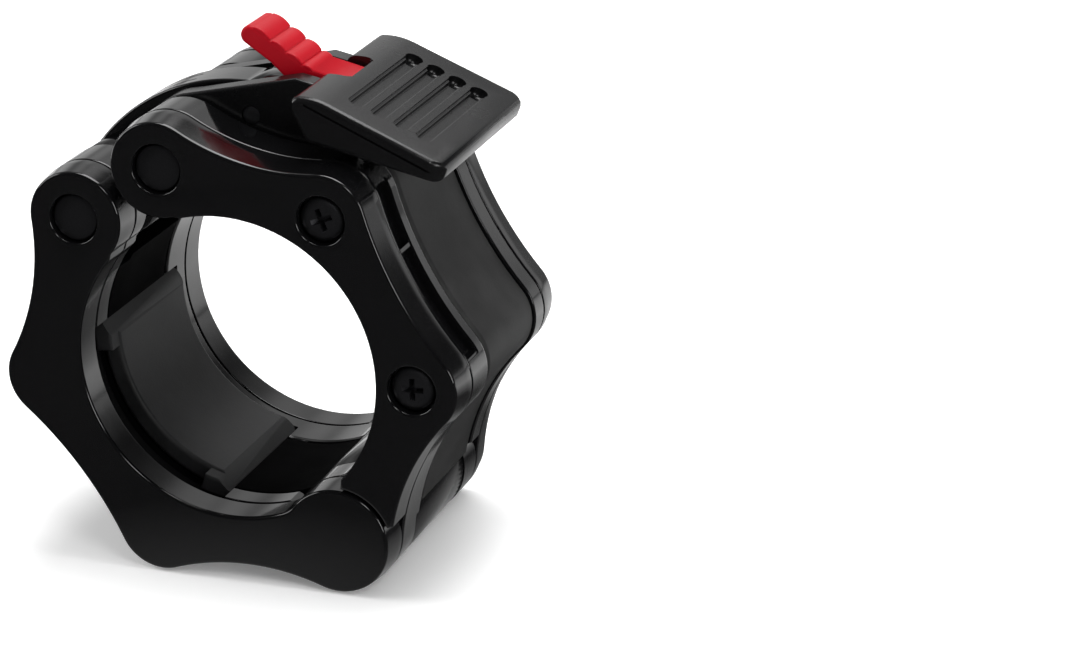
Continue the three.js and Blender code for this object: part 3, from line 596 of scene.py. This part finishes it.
# Rubber grips
# A soft skin of black thermoplastic rubber, moulded over the outside of the core so that
# fingers hold it, with eased edges where it dips between the harder shells.
def moulded_rubber(name, colour, grain_mm, grain_height):
    """Moulded rubber: a soft dark skin under a pale cloudy bloom, with its grain drawn
    coarser than the real one, so that it shows."""
    material, tree = blank_material(name)
    spot = add_node(tree, "ShaderNodeTexCoord").outputs["Object"]
    bloom = add_node(tree, "ShaderNodeTexNoise",
                     {"Scale": 1 / (9 * MM), "Detail": 6, "Roughness": 0.65}, {"Vector": spot})
    tint = add_node(tree, "ShaderNodeValToRGB", {}, {"Fac": bloom.outputs["Fac"]})
    clean, bloomed = tint.color_ramp.elements
    clean.position, clean.color = 0.4, hex_colour(colour)
    bloomed.position, bloomed.color = 0.62, brighter(colour, 2.2)
    gloss = add_node(tree, "ShaderNodeMapRange", {"To Min": 0.5, "To Max": 0.68},
                     {"Value": bloom.outputs["Fac"]})
    grain = add_node(tree, "ShaderNodeTexNoise", {"Scale": 1 / (grain_mm * MM), "Detail": 3},
                     {"Vector": spot})
    relief = add_node(tree, "ShaderNodeBump", {"Strength": 0.4, "Distance": grain_height * MM},
                      {"Height": grain.outputs["Fac"]})
    surface = add_node(tree, "ShaderNodeBsdfPrincipled", {"IOR": 1.52, "Specular IOR Level": 0.4},
                       {"Base Color": tint.outputs[0], "Roughness": gloss.outputs[0],
                        "Normal": relief.outputs[0]})
    add_node(tree, "ShaderNodeOutputMaterial", {}, {"Surface": surface.outputs[0]})
    return material


# Grip rubber: matt and a little greyer than the shells, with a fine even grain.
grip_rubber = moulded_rubber("grip_rubber", "191919", 0.35, 0.05)


def corner(point):
    """A sharp corner of an outline, as an arc without a radius."""
    return point, 0, 0, 0


def reverse(runs):
    """The same outline, followed the other way."""
    return [(centre, radius, start + sweep, -sweep)
            for centre, radius, start, sweep in reversed(runs)]


for side in ("right", "left"):
    grip = slab(flank_runs(0.45) + reverse(flank_runs(3.2)), core_front, core_back, 1.1, 0.35)
    bay = slab(sector(bay_angles[side], past_mouth, inside, outside), *through_core)
    grip = put_together(grip, [drill(hinge_at, boss_room, *through_core), bay])
    finish_on_jaw(grip, side, f"{side}_rubber_grip", f"{side}_grip", grip_rubber,
                  40)


# Sleeve pads
# A curved block of rubber in each jaw that bears on the bar's sleeve. It drops into the
# jaw's pocket and is kept there by two square tabs at its far end.
sleeve_radius, pad_back = 25, 28.3
pad_start, pad_end, tab_angle = 42.61, 127.39, 11

# Pad rubber: a darker rubber than the grip's, as matt, with a slightly coarser grain.
pad_rubber = moulded_rubber("pad_rubber", "131314", 0.5, 0.06)

for side in ("right", "left"):
    pad = slab(sector(pad_start, pad_end, sleeve_radius, pad_back), -14.8, 12.7, 0.9, 0.7)
    tabs = [slab(sector(start, start + tab_angle, 25.3, 28.29), 8, 15.6, 0.3, 0.4)
            for start in (pad_start + 0.03, pad_end - tab_angle - 0.03)]
    pad = put_together(pad, tabs, "UNION")
    # The corner of each end that faces the bar is cut off at a slant
    for end, way in ((pad_start, 1), (pad_end, -1)):
        near, far = (Vector((math.cos(turn * DEG), math.sin(turn * DEG))) * reach
                     for turn, reach in ((end + way * 6.5 - 90, 24.9), (end - way - 90, 27.2)))
        slant = [corner(point) for point in (near, far, far * 0.9, far * 0.8, near * 0.9)]
        pad = put_together(pad, [slab(slant, -20, 20)])
    finish_on_jaw(pad, side, f"{side}_sleeve_pad", f"{side}_pad", pad_rubber, 40)


# Ear shells
# A thinner moulded shell on the other side of each core. Near the mouth it thickens into
# the ear that carries the toggle's pin, and its channel lets the pad's tabs through.
ear_front, shell_inside, through_ear = 9.8, 14, (5, 22)
for side, where in (("right", "rear"), ("left", "front")):
    shell = slab(plate_runs(), shell_inside, shell_face, 0.25, 0.35)
    ear_slice = slab(sector(bay_angles[side] + 1, 180, bay_floor + 0.3, outside), *through_ear)
    ear = put_together(slab(plate_runs(), ear_front, shell_inside + 0.3, 0.3, 0.05),
                       [ear_slice], "INTERSECT")
    shell = put_together(shell, [ear], "UNION")
    cuts = [slab(pad_pocket, *through_ear), drill(pin_at, pin_hole, *through_ear)]
    shell = put_together(shell, cuts + shank_drills(*through_ear))
    finish_on_jaw(shell, side, f"{side}_ear_shell", f"{side}_{where}_shell", polished_abs)


# Hinge covers
# The outer plate on the side where the screws end. Its boss covers the end of the hinge
# pin, and its face is as flat and polished as the screw cover's.
for side, where in (("right", "rear"), ("left", "front")):
    cover = slab(boss_runs(), cover_back, face, seam_rim, face_rim,
                 (taper_length, taper_draw, 1))
    cuts = [drill(pin_at, pin_hole, past_back, past_face, 0.35, face),
            drill(hinge_at, hinge_hole, past_back, 21.6)]
    cover = put_together(cover, cuts + shank_drills(past_back, 21.9))
    finish_on_jaw(cover, side, f"{side}_hinge_cover", f"{side}_{where}_cover", polished_abs)


# Screws
# Cross-head machine screws in blackened steel, two in each jaw, that clamp its layers
# together. The low round heads sit just under the face of the screw cover.
def bare_metal(name, colour, roughness, spread):
    """Turned steel: the colour comes from the metal, and turning marks stretch its gloss.
    They are drawn coarser than the real ones, so that they show."""
    material, tree = blank_material(name)
    spot = add_node(tree, "ShaderNodeTexCoord").outputs["Object"]
    drawn_out = add_node(tree, "ShaderNodeMapping", {"Scale": (1, 0.15, 1)},
                         {"Vector": spot})
    marks = add_node(tree, "ShaderNodeTexNoise", {"Scale": 1 / (0.4 * MM), "Detail": 6},
                     {"Vector": drawn_out.outputs[0]})
    gloss = add_node(tree, "ShaderNodeMapRange",
                     {"To Min": roughness, "To Max": roughness + spread},
                     {"Value": marks.outputs["Fac"]})
    tint = add_node(tree, "ShaderNodeValToRGB", {}, {"Fac": marks.outputs["Fac"]})
    dark, light = tint.color_ramp.elements
    dark.color, light.color = hex_colour(colour), brighter(colour, 1.4)
    relief = add_node(tree, "ShaderNodeBump", {"Strength": 0.2, "Distance": 0.01 * MM},
                      {"Height": marks.outputs["Fac"]})
    surface = add_node(tree, "ShaderNodeBsdfPrincipled", {"Metallic": 1},
                       {"Base Color": tint.outputs[0], "Roughness": gloss.outputs[0],
                        "Normal": relief.outputs[0]})
    add_node(tree, "ShaderNodeOutputMaterial", {}, {"Surface": surface.outputs[0]})
    return material


# Blackened steel: a dark grey oxide skin that keeps a soft metal sheen.
blackened_steel = bare_metal("blackened_steel", "505053", 0.36, 0.15)

screw_profile = [(-24.5, 0), (-24.47, 1.2), (-24.38, 2.2), (-24.2, 3), (-23.95, 3.55),
                 (-23.6, 3.82), (-23.2, 3.9), (-22.4, 3.9), (-22.3, 3.8), (-22.3, 1.9),
                 (21.4, 1.9), (21.6, 1.7), (21.6, 0)]
slot_size, slot_at = (5.2, 2.6, 1.25), -24.3
for side in ("right", "left"):
    for which, lobe, turn in (("lower", lower_lobe, 32), ("upper", upper_lobe, 12)):
        slots = []
        for quarter in (0, 90):
            slot = bmesh.new()
            bmesh.ops.create_cube(slot, size=1)
            bmesh.ops.scale(slot, verts=slot.verts, vec=slot_size)
            # The cross narrows towards its bottom
            bottom = [vert for vert in slot.verts if vert.co.y > 0]
            bmesh.ops.scale(slot, verts=bottom, vec=(0.45, 1, 0.5))
            swing(slot, (quarter + turn) * DEG, "Y")
            move(slot, lobe.x, slot_at, lobe.y)
            slots.append(slot)
        screw = put_together(turned(lobe, screw_profile), slots)
        finish_on_jaw(screw, side, f"{side}_{which}_cross_screw", f"{side}_screw_{which}",
                      blackened_steel)


# Hinge pin and sleeve
# A bright steel pin through both jaws' knuckles, inside a glossy barrel that fills the room
# between them and turns with the left jaw.
def both_ends(profile):
    """A whole turned profile from its front half."""
    return profile + [(-y, radius) for y, radius in reversed(profile)]


def rod(centre, radius, end, rim=0.3):
    """A plain pin with a broken edge at both ends."""
    return turned(centre, both_ends([(-end, 0), (-end, radius - rim),
                                     (-end + rim / 3, radius - rim / 3), (-end + rim, radius)]))


# Bright steel: bare light grey metal with a clearer sheen than the blackened one.
bright_steel = bare_metal("bright_steel", "a9a9ab", 0.22, 0.12)

hinge_pin = rod(hinge_at, 3.5, 21.3)
seat(hinge_pin, "right")
finish_piece(hinge_pin, "hinge_pin_turned", "left_jaw", "hinge_pin", bright_steel)
barrel = turned(hinge_at, both_ends([(-12.1, 3.8), (-12.1, 9.1), (-12, 9.3), (-11.8, 9.4)]),
                64, True)
seat(barrel, "right")
finish_piece(barrel, "hinge_barrel", "left_jaw", "hinge_sleeve", polished_abs)


# Toggle pins in the jaws
# Two stout blackened steel pins, one in each jaw's ears. Their flat ends show in the faces
# of the covers, a little sunk, with a dark ring of clearance round them.
for side, node in (("right", "lever_pin"), ("left", "link_pin")):
    finish_on_jaw(rod(pin_at, 4, 24.1, 0.35), side, f"{node}_turned", node, blackened_steel)


# Lever
# The toggle's handle: one moulding in satin black nylon, with two cheeks that run from the
# hub to a wide hollow thumb paddle. The paddle's top has four grip grooves that deepen
# into round pockets, and a slot that the release tab stands in.
lever_at = Vector((-11.0869, 72.2803))
toggle_at, tab_at = Vector((10.599, 5.627)), Vector((19.3, 9.7))
heel, heel_foot = Vector((20.88, 12.805)), Vector((24.69, 5.33))
tip_foot, tip, brow = Vector((47.724, 0.39)), Vector((48.9, 3.315)), Vector((26.316, 13))
tip_half, heel_narrowing, wall = 20.8, 0.8, 2.2
hub_radius, pin_room = 8.5, 4.4
cheek_inside, cheek_outside = 5, 9.4

# Each piece of the toggle is drawn about its own pin, in millimetres
ORIGIN = Vector((0, 0))


def rounded(points, radii):
    """An outline with straight sides whose corners are rounded, each by its own radius, or
    by less where a side is too short for it."""
    most = 0.488
    runs = []
    for i, (point, radius) in enumerate(zip(points, radii)):
        before, after = points[i - 1] - point, points[(i + 1) % len(points)] - point
        back, ahead = before.normalized(), after.normalized()
        half = math.acos(max(-1, min(1, back.dot(ahead)))) / 2
        reach = min(radius / math.tan(half), before.length * most, after.length * most)
        radius = reach * math.tan(half)
        middle = point + (back + ahead).normalized() * (radius / math.sin(half))
        start, end = (bearing(middle, point + way * reach) for way in (back, ahead))
        runs.append(run(middle, radius, start, end, -1 if before.cross(after) > 0 else 1))
    return runs


def block(size, at=(0, 0, 0), turn=0):
    """A plain block for cutting slots, turned about the bar's line and moved."""
    bm = bmesh.new()
    bmesh.ops.create_cube(bm, size=1)
    bmesh.ops.scale(bm, verts=bm.verts, vec=size)
    swing(bm, turn, "Y")
    move(bm, *at)
    return bm


def seat_toggle(bm, at=ORIGIN, turn=0):
    """Turns a piece of the toggle about its own pin and moves it to where it stands."""
    swing(bm, -turn, "Y")
    place = lever_at + at
    move(bm, place.x, 0, place.y)


along = (tip - brow).normalized()
down = Vector((along.y, -along.x))
slope, top_length = bearing(brow, tip), (tip - brow).length

paddle = slab(rounded([heel, heel_foot, tip_foot, tip, brow], [2.6, 1, 1, 2.6, 14]),
              -tip_half, tip_half, 0.9, 0.9)
for vert in paddle.verts:
    vert.co.y *= 1 - heel_narrowing / tip_half * (tip.x - vert.co.x) / (tip.x - heel.x)
# The plan shape: square to the top plate, it rounds the tip's corners and all the top edges
wide, narrow, far = 20.95, 20.15, top_length + 0.15
plan = slab(rounded([Vector((-14, narrow)), Vector((-14, -narrow)), Vector((far, -wide)),
                     Vector((far, wide))], [1, 1, 4, 4]), -30, 0.04, 0.3, 0.9)
swing(plan, 90 * DEG, "X")
swing(plan, -slope, "Y")
move(plan, brow.x, 0, brow.y)
# The heel bows gently backward in the middle, as part of one wide round
bow_half, bow_rise = 20, 1.6
bow_radius = (bow_half ** 2 + bow_rise ** 2) / (2 * bow_rise)
bow_at = Vector((heel.x + bow_radius, 0))
bow = slab([run(bow_at, bow_radius, 0, math.pi, 1), run(bow_at, bow_radius, math.pi, 0, 1)],
           -10, 26)
swing(bow, 90 * DEG, "X")
paddle = put_together(paddle, [plan, bow], "INTERSECT")
# The hollow is open below: its cutter runs well past the paddle's foot
past_foot = 13
inner_heel = heel + Vector((wall, -wall))
hollow = slab(rounded([brow + down * wall, inner_heel,
                       inner_heel + (heel_foot - heel).normalized() * past_foot,
                       Vector((tip_foot.x - wall, tip_foot.y - past_foot)),
                       tip - along * wall + down * wall], [1, 1, 0.5, 0.5, 1]),
              -17.8, 17.8, 0.5, 0.5)
paddle = put_together(paddle, [hollow])

# The cheeks rise from the hub to the heel. Their underside leaves the hub in a round nook
# and falls past the toggle pin to the inside of the paddle
lean_up, lean_down, nook_radius = 12 * DEG, 7.3 * DEG, 5
top_start = Vector((-math.sin(lean_up), math.cos(lean_up))) * hub_radius
top_end = top_start + (Vector((math.cos(lean_up), math.sin(lean_up)))
                       * ((heel.x - top_start.x) / math.cos(lean_up)))
along_under = Vector((math.cos(lean_down), -math.sin(lean_down)))
under = Vector((along_under.y, -along_under.x))
eye_drop = (toggle_at + under * 3.2).dot(under)
height = eye_drop + nook_radius
reach = math.sqrt((hub_radius + nook_radius) ** 2 - height ** 2)
nook = along_under * reach + under * height
cheek_end, merge = 36, 1.1
under_end = along_under * cheek_end + under * eye_drop
inner_end = Vector((cheek_end, brow.y + (along.y / along.x) * (cheek_end - brow.x) - merge))
under_heel = under_end.y + (cheek_end - heel_foot.x) * math.tan(lean_down)
cheek_runs = [run(ORIGIN, hub_radius, bearing(ORIGIN, top_start), bearing(ORIGIN, nook), 1),
              run(nook, nook_radius, bearing(nook, ORIGIN), bearing(nook, nook - under), -1),
              corner(Vector((heel_foot.x, under_heel))), corner(inner_end),
              corner(Vector((heel.x + wall, min(top_end.y, heel.y) - merge))),
              corner(Vector((heel.x - wall, top_end.y - wall * math.sin(lean_up))))]
cheeks = [slab(cheek_runs, -cheek_outside, -cheek_inside, 0.5, 0.4),
          slab(cheek_runs, cheek_inside, cheek_outside, 0.4, 0.5)]
lever = put_together(paddle, cheeks, "UNION")

# The slot for the tab, the room for its stem between the cheeks, and the pins' holes
slot_end, slot_half = heel.x + 6.2, 5.7
slot = slab(rounded([Vector((0, -slot_half)), Vector((slot_end, -slot_half)),
                     Vector((slot_end, slot_half)), Vector((0, slot_half))],
                    [0.5, 1.4, 1.4, 0.5]), 0, 26)
swing(slot, 90 * DEG, "X")
room_height = 20
stem_room = block((slot_end - tab_at.x, 10, room_height),
                  ((slot_end + tab_at.x) / 2, 0, tab_at.y - 3.6 + room_height / 2))
cuts = [slot, stem_room, drill(ORIGIN, pin_room, -26, 26),
        drill(toggle_at, 1.65, -26, 26, steps=32), drill(tab_at, 1.55, -9, 9, steps=32)]

# Four grooves, each a long stadium that deepens toward its round pocket at the rear
groove_rear, groove_front = Vector((0, 13.4)), Vector((0, -13))
first_groove, last_groove = 5.3, top_length - 6.68
pocket_profile = [(-1.75, 0), (-1.7, 0.9), (-1.4, 1.35), (-0.9, 1.55), (0.2, 1.6), (0.6, 2.2),
                  (3, 2.2), (3, 0)]


def stadium(radius, floor, rim):
    """A cutter for a groove in the paddle's top: two half rounds with straight sides."""
    runs = [run(groove_rear, radius, 0, math.pi, 1), run(groove_front, radius, math.pi, 0, 1)]
    bm = slab(runs, -floor, 3, rim, 0.1)
    swing(bm, 90 * DEG, "X")
    return bm


for i in range(4):
    at = brow + along * (first_groove + i * (last_groove - first_groove) / 3)
    groove, flare = stadium(1, 1.1, 0.2), stadium(1.45, 0.34, 0.3)
    swing(groove, -0.4 * DEG, "X", (0, 13, 0))
    pocket = turned(ORIGIN, pocket_profile, 32)
    swing(pocket, 90 * DEG, "X")
    move(pocket, 0, groove_rear.y, 0)
    for tool in (groove, flare, pocket):
        swing(tool, -slope, "Y")
        move(tool, at.x, 0, at.y)
        cuts.append(tool)
# A fine shadow line under the paddle's top plate, along both long sides
line_at = (brow + tip) / 2 + down * 1.9
for way in (-1, 1):
    line = block((27, 1, 0.4), turn=-slope)
    swing(line, way * 1.55 * DEG, "Z")
    move(line, line_at.x, way * 20.56, line_at.y)
    cuts.append(line)
lever = put_together(lever, cuts)
seat_toggle(lever)


def moulded_satin(name, colour, sheen, level):
    """Spark-finished nylon: a soft even sheen over a pebble that scatters the light, drawn
    coarser than the real one, at 0.45 mm, so that it shows."""
    material, tree = blank_material(name)
    spot = add_node(tree, "ShaderNodeTexCoord").outputs["Object"]
    pebble = add_node(tree, "ShaderNodeTexVoronoi", {"Scale": 1 / (0.45 * MM)}, {"Vector": spot})
    cloud = add_node(tree, "ShaderNodeTexNoise", {"Scale": 1 / (8 * MM), "Detail": 5},
                     {"Vector": spot})
    gloss = add_node(tree, "ShaderNodeMapRange", {"To Min": sheen, "To Max": sheen + 0.12},
                     {"Value": cloud.outputs["Fac"]})
    tint = add_node(tree, "ShaderNodeValToRGB", {}, {"Fac": cloud.outputs["Fac"]})
    dark, light = tint.color_ramp.elements
    dark.color, light.color = hex_colour(colour), brighter(colour, 1.3)
    relief = add_node(tree, "ShaderNodeBump", {"Strength": 0.25, "Distance": 0.03 * MM},
                      {"Height": pebble.outputs["Distance"]})
    surface = add_node(tree, "ShaderNodeBsdfPrincipled", {"IOR": 1.53, "Specular IOR Level": level},
                       {"Base Color": tint.outputs[0], "Roughness": gloss.outputs[0],
                        "Normal": relief.outputs[0]})
    add_node(tree, "ShaderNodeOutputMaterial", {}, {"Surface": surface.outputs[0]})
    return material


# Satin black nylon: its highlights spread wider and softer than on the polished shells.
satin_nylon = moulded_satin("satin_black_nylon", "0d0d0e", 0.2, 0.4)
finish_piece(lever, "toggle_lever", "lever", "lever", satin_nylon, 35)


# Pins of the lever and the release bar
# Three thin turned steel pins. A blackened one joins the link to the lever, a bright one
# carries the release tab, and the release bar lies across the right jaw's bay, where the
# tab's toe comes down on it.
bar_at = tab_at + Vector((3.41, -12.19))
for node, at, radius, end, body, steel in (
        ("toggle_pin", toggle_at, 1.6, 9.25, "lever", blackened_steel),
        ("tab_pin", tab_at, 1.5, 8.95, "lever", bright_steel),
        ("release_bar", bar_at, 1.5, 9.5, "right_jaw", bright_steel)):
    pin = rod(ORIGIN, radius, end, 0.2)
    seat_toggle(pin, at)
    finish_piece(pin, f"{node}_turned", body, node, steel)


# Link
# A glossy moulded arm from the left jaw's pin to the toggle pin. It arches over the lever's
# hub, and two fine grooves run along its back.
link_from = Vector((-26.5953, 62.2234)) - lever_at
link_way = toggle_at - link_from
link_end = Vector((link_way.length, 0))
arch_at, arch_under, arch_back, arm_half = Vector((11.9, -23.4)), 29.5, 34, 4.2
start, end = bearing(arch_at, ORIGIN), bearing(arch_at, link_end)
arch = slab([run(arch_at, arch_under, start, end, -1), run(arch_at, arch_back, end, start, 1)],
            -arm_half, arm_half, 0.5, 0.5)
eye = turned(link_end, both_ends([(-arm_half, 0), (-arm_half, 4.6), (-4.05, 4.87), (-3.8, 5)]))
hub = turned(ORIGIN, both_ends([(-9.4, 0), (-9.4, 7.8), (-9.2, 8.15), (-8.9, 8.3)]), 64)
arm = put_together(arch, [eye, hub], "UNION")
arm = put_together(arm, [drill(ORIGIN, pin_room, -12, 12), drill(link_end, 3.3, -6, 6, steps=32)])
groove_start, groove_end = 75 * DEG, 103 * DEG
groove_runs = [run(arch_at, arch_back - 0.35, groove_start, groove_end, 1),
               run(arch_at, arch_back + 2, groove_end, groove_start, -1)]
arm = put_together(arm, [slab(groove_runs, y - 0.25, y + 0.25, 0.05, 0.05) for y in (-1.5, 1.5)])
seat_toggle(arm, link_from, math.atan2(link_way.y, link_way.x))
finish_piece(arm, "toggle_link", "link", "link", polished_abs)


# Release tab
# A thumb tab in bright red nylon with four scalloped steps, the one coloured part. It turns
# on its pin in the lever, and its toe reaches down between the cheeks to the release bar.
tab_slope, stem_half = 33.8 * DEG, 4.6
back = Vector((-math.cos(tab_slope), math.sin(tab_slope)))
below = Vector((-back.y, back.x))
tail_top = Vector((-11, 10.525))
bend = tail_top - back * (10.6 / math.cos(tab_slope))
tail_under = tail_top + below * 3.3
under_bend = tail_under - back * (5.88 / math.cos(tab_slope))
stem = slab(rounded([tail_top, tail_under, under_bend, Vector((-2.88, 0)),
                     Vector((7.19, -0.41)), Vector((7.6, 1.485)), bend],
                    [1.6, 1.6, 3.3, 0.8, 0.8, 0.8, 4]), -stem_half, stem_half, 0.5, 0.5)
boss = turned(ORIGIN, both_ends([(-stem_half, 0), (-stem_half, 2.8), (-4.4, 3.1), (-4.2, 3.2)]))
toe_end, toe_radius = Vector((-0.78, -10.2)), 1.3
toe = slab([run(toe_end, toe_radius, math.pi, 0, 1), corner(Vector((toe_end.x + toe_radius, 0))),
            corner(Vector((toe_end.x - toe_radius, 0)))], -3, 3)
tab = put_together(stem, [boss, toe], "UNION")
# The pin's hole, and the room for the return spring, which opens downwards
tab = put_together(tab, [drill(ORIGIN, 1.8, -6, 6, steps=32), drill(ORIGIN, 3, -2.8, 2.8),
                         block((7.6, 5.6, 3), (3.8, 0, -1.5))])
# Four convex finger steps stand on its slope, with a fine line between each two
swell, seam = 0.4, 0.12
steps = []
for first, last in ((0.1, 0.4), (0.4, 0.66), (0.66, 0.92), (0.92, 1.12)):
    a, b = tail_top.lerp(bend, first), tail_top.lerp(bend, last)
    half = (b - a).length / 2 - seam
    radius = (half ** 2 + swell ** 2) / (2 * swell)
    middle = (a + b) / 2 - below * 0.1
    centre = middle + below * (radius - swell)
    left, right = middle + back * half, middle - back * half
    steps.append(slab([run(centre, radius, bearing(centre, right), bearing(centre, left), 1),
                       corner(left + below * 1.2), corner(right + below * 1.2)],
                      -4.55, 4.55, 0.25, 0.25))
tab = put_together(tab, steps, "UNION")
seat_toggle(tab, tab_at)

# Red nylon: dyed through in a deep clear red, matt enough to keep its colour under a lamp.
red_nylon = moulded_satin("red_nylon", "ac0016", 0.34, 0.18)
finish_piece(tab, "red_release_tab", "tab", "release_tab", red_nylon, 35)


# Return spring
# A small coil of bright spring wire on the tab's pin, wound in four close turns, that
# swings the tab back up when the thumb lets it go.
coil_radius, wire_radius, coil_length = 2.3, 0.4, 4
coil_turns, turn_steps = 4, 32
coil_steps = coil_turns * turn_steps
coil = bmesh.new()
bmesh.ops.create_circle(coil, segments=10, radius=wire_radius)
move(coil, coil_radius, 0, 0)
bmesh.ops.spin(coil, geom=coil.verts[:] + coil.edges[:], cent=(0, 0, 0), axis=(0, 1, 0),
               dvec=(0, coil_length / coil_steps, 0), angle=coil_turns * 2 * math.pi,
               steps=coil_steps)
move(coil, 0, -coil_length / 2, 0)
bmesh.ops.holes_fill(coil, edges=coil.edges[:])
bmesh.ops.recalc_face_normals(coil, faces=coil.faces)
seat_toggle(coil, tab_at)
finish_piece(coil, "tab_return_spring", "lever", "tab_spring", bright_steel, 60)
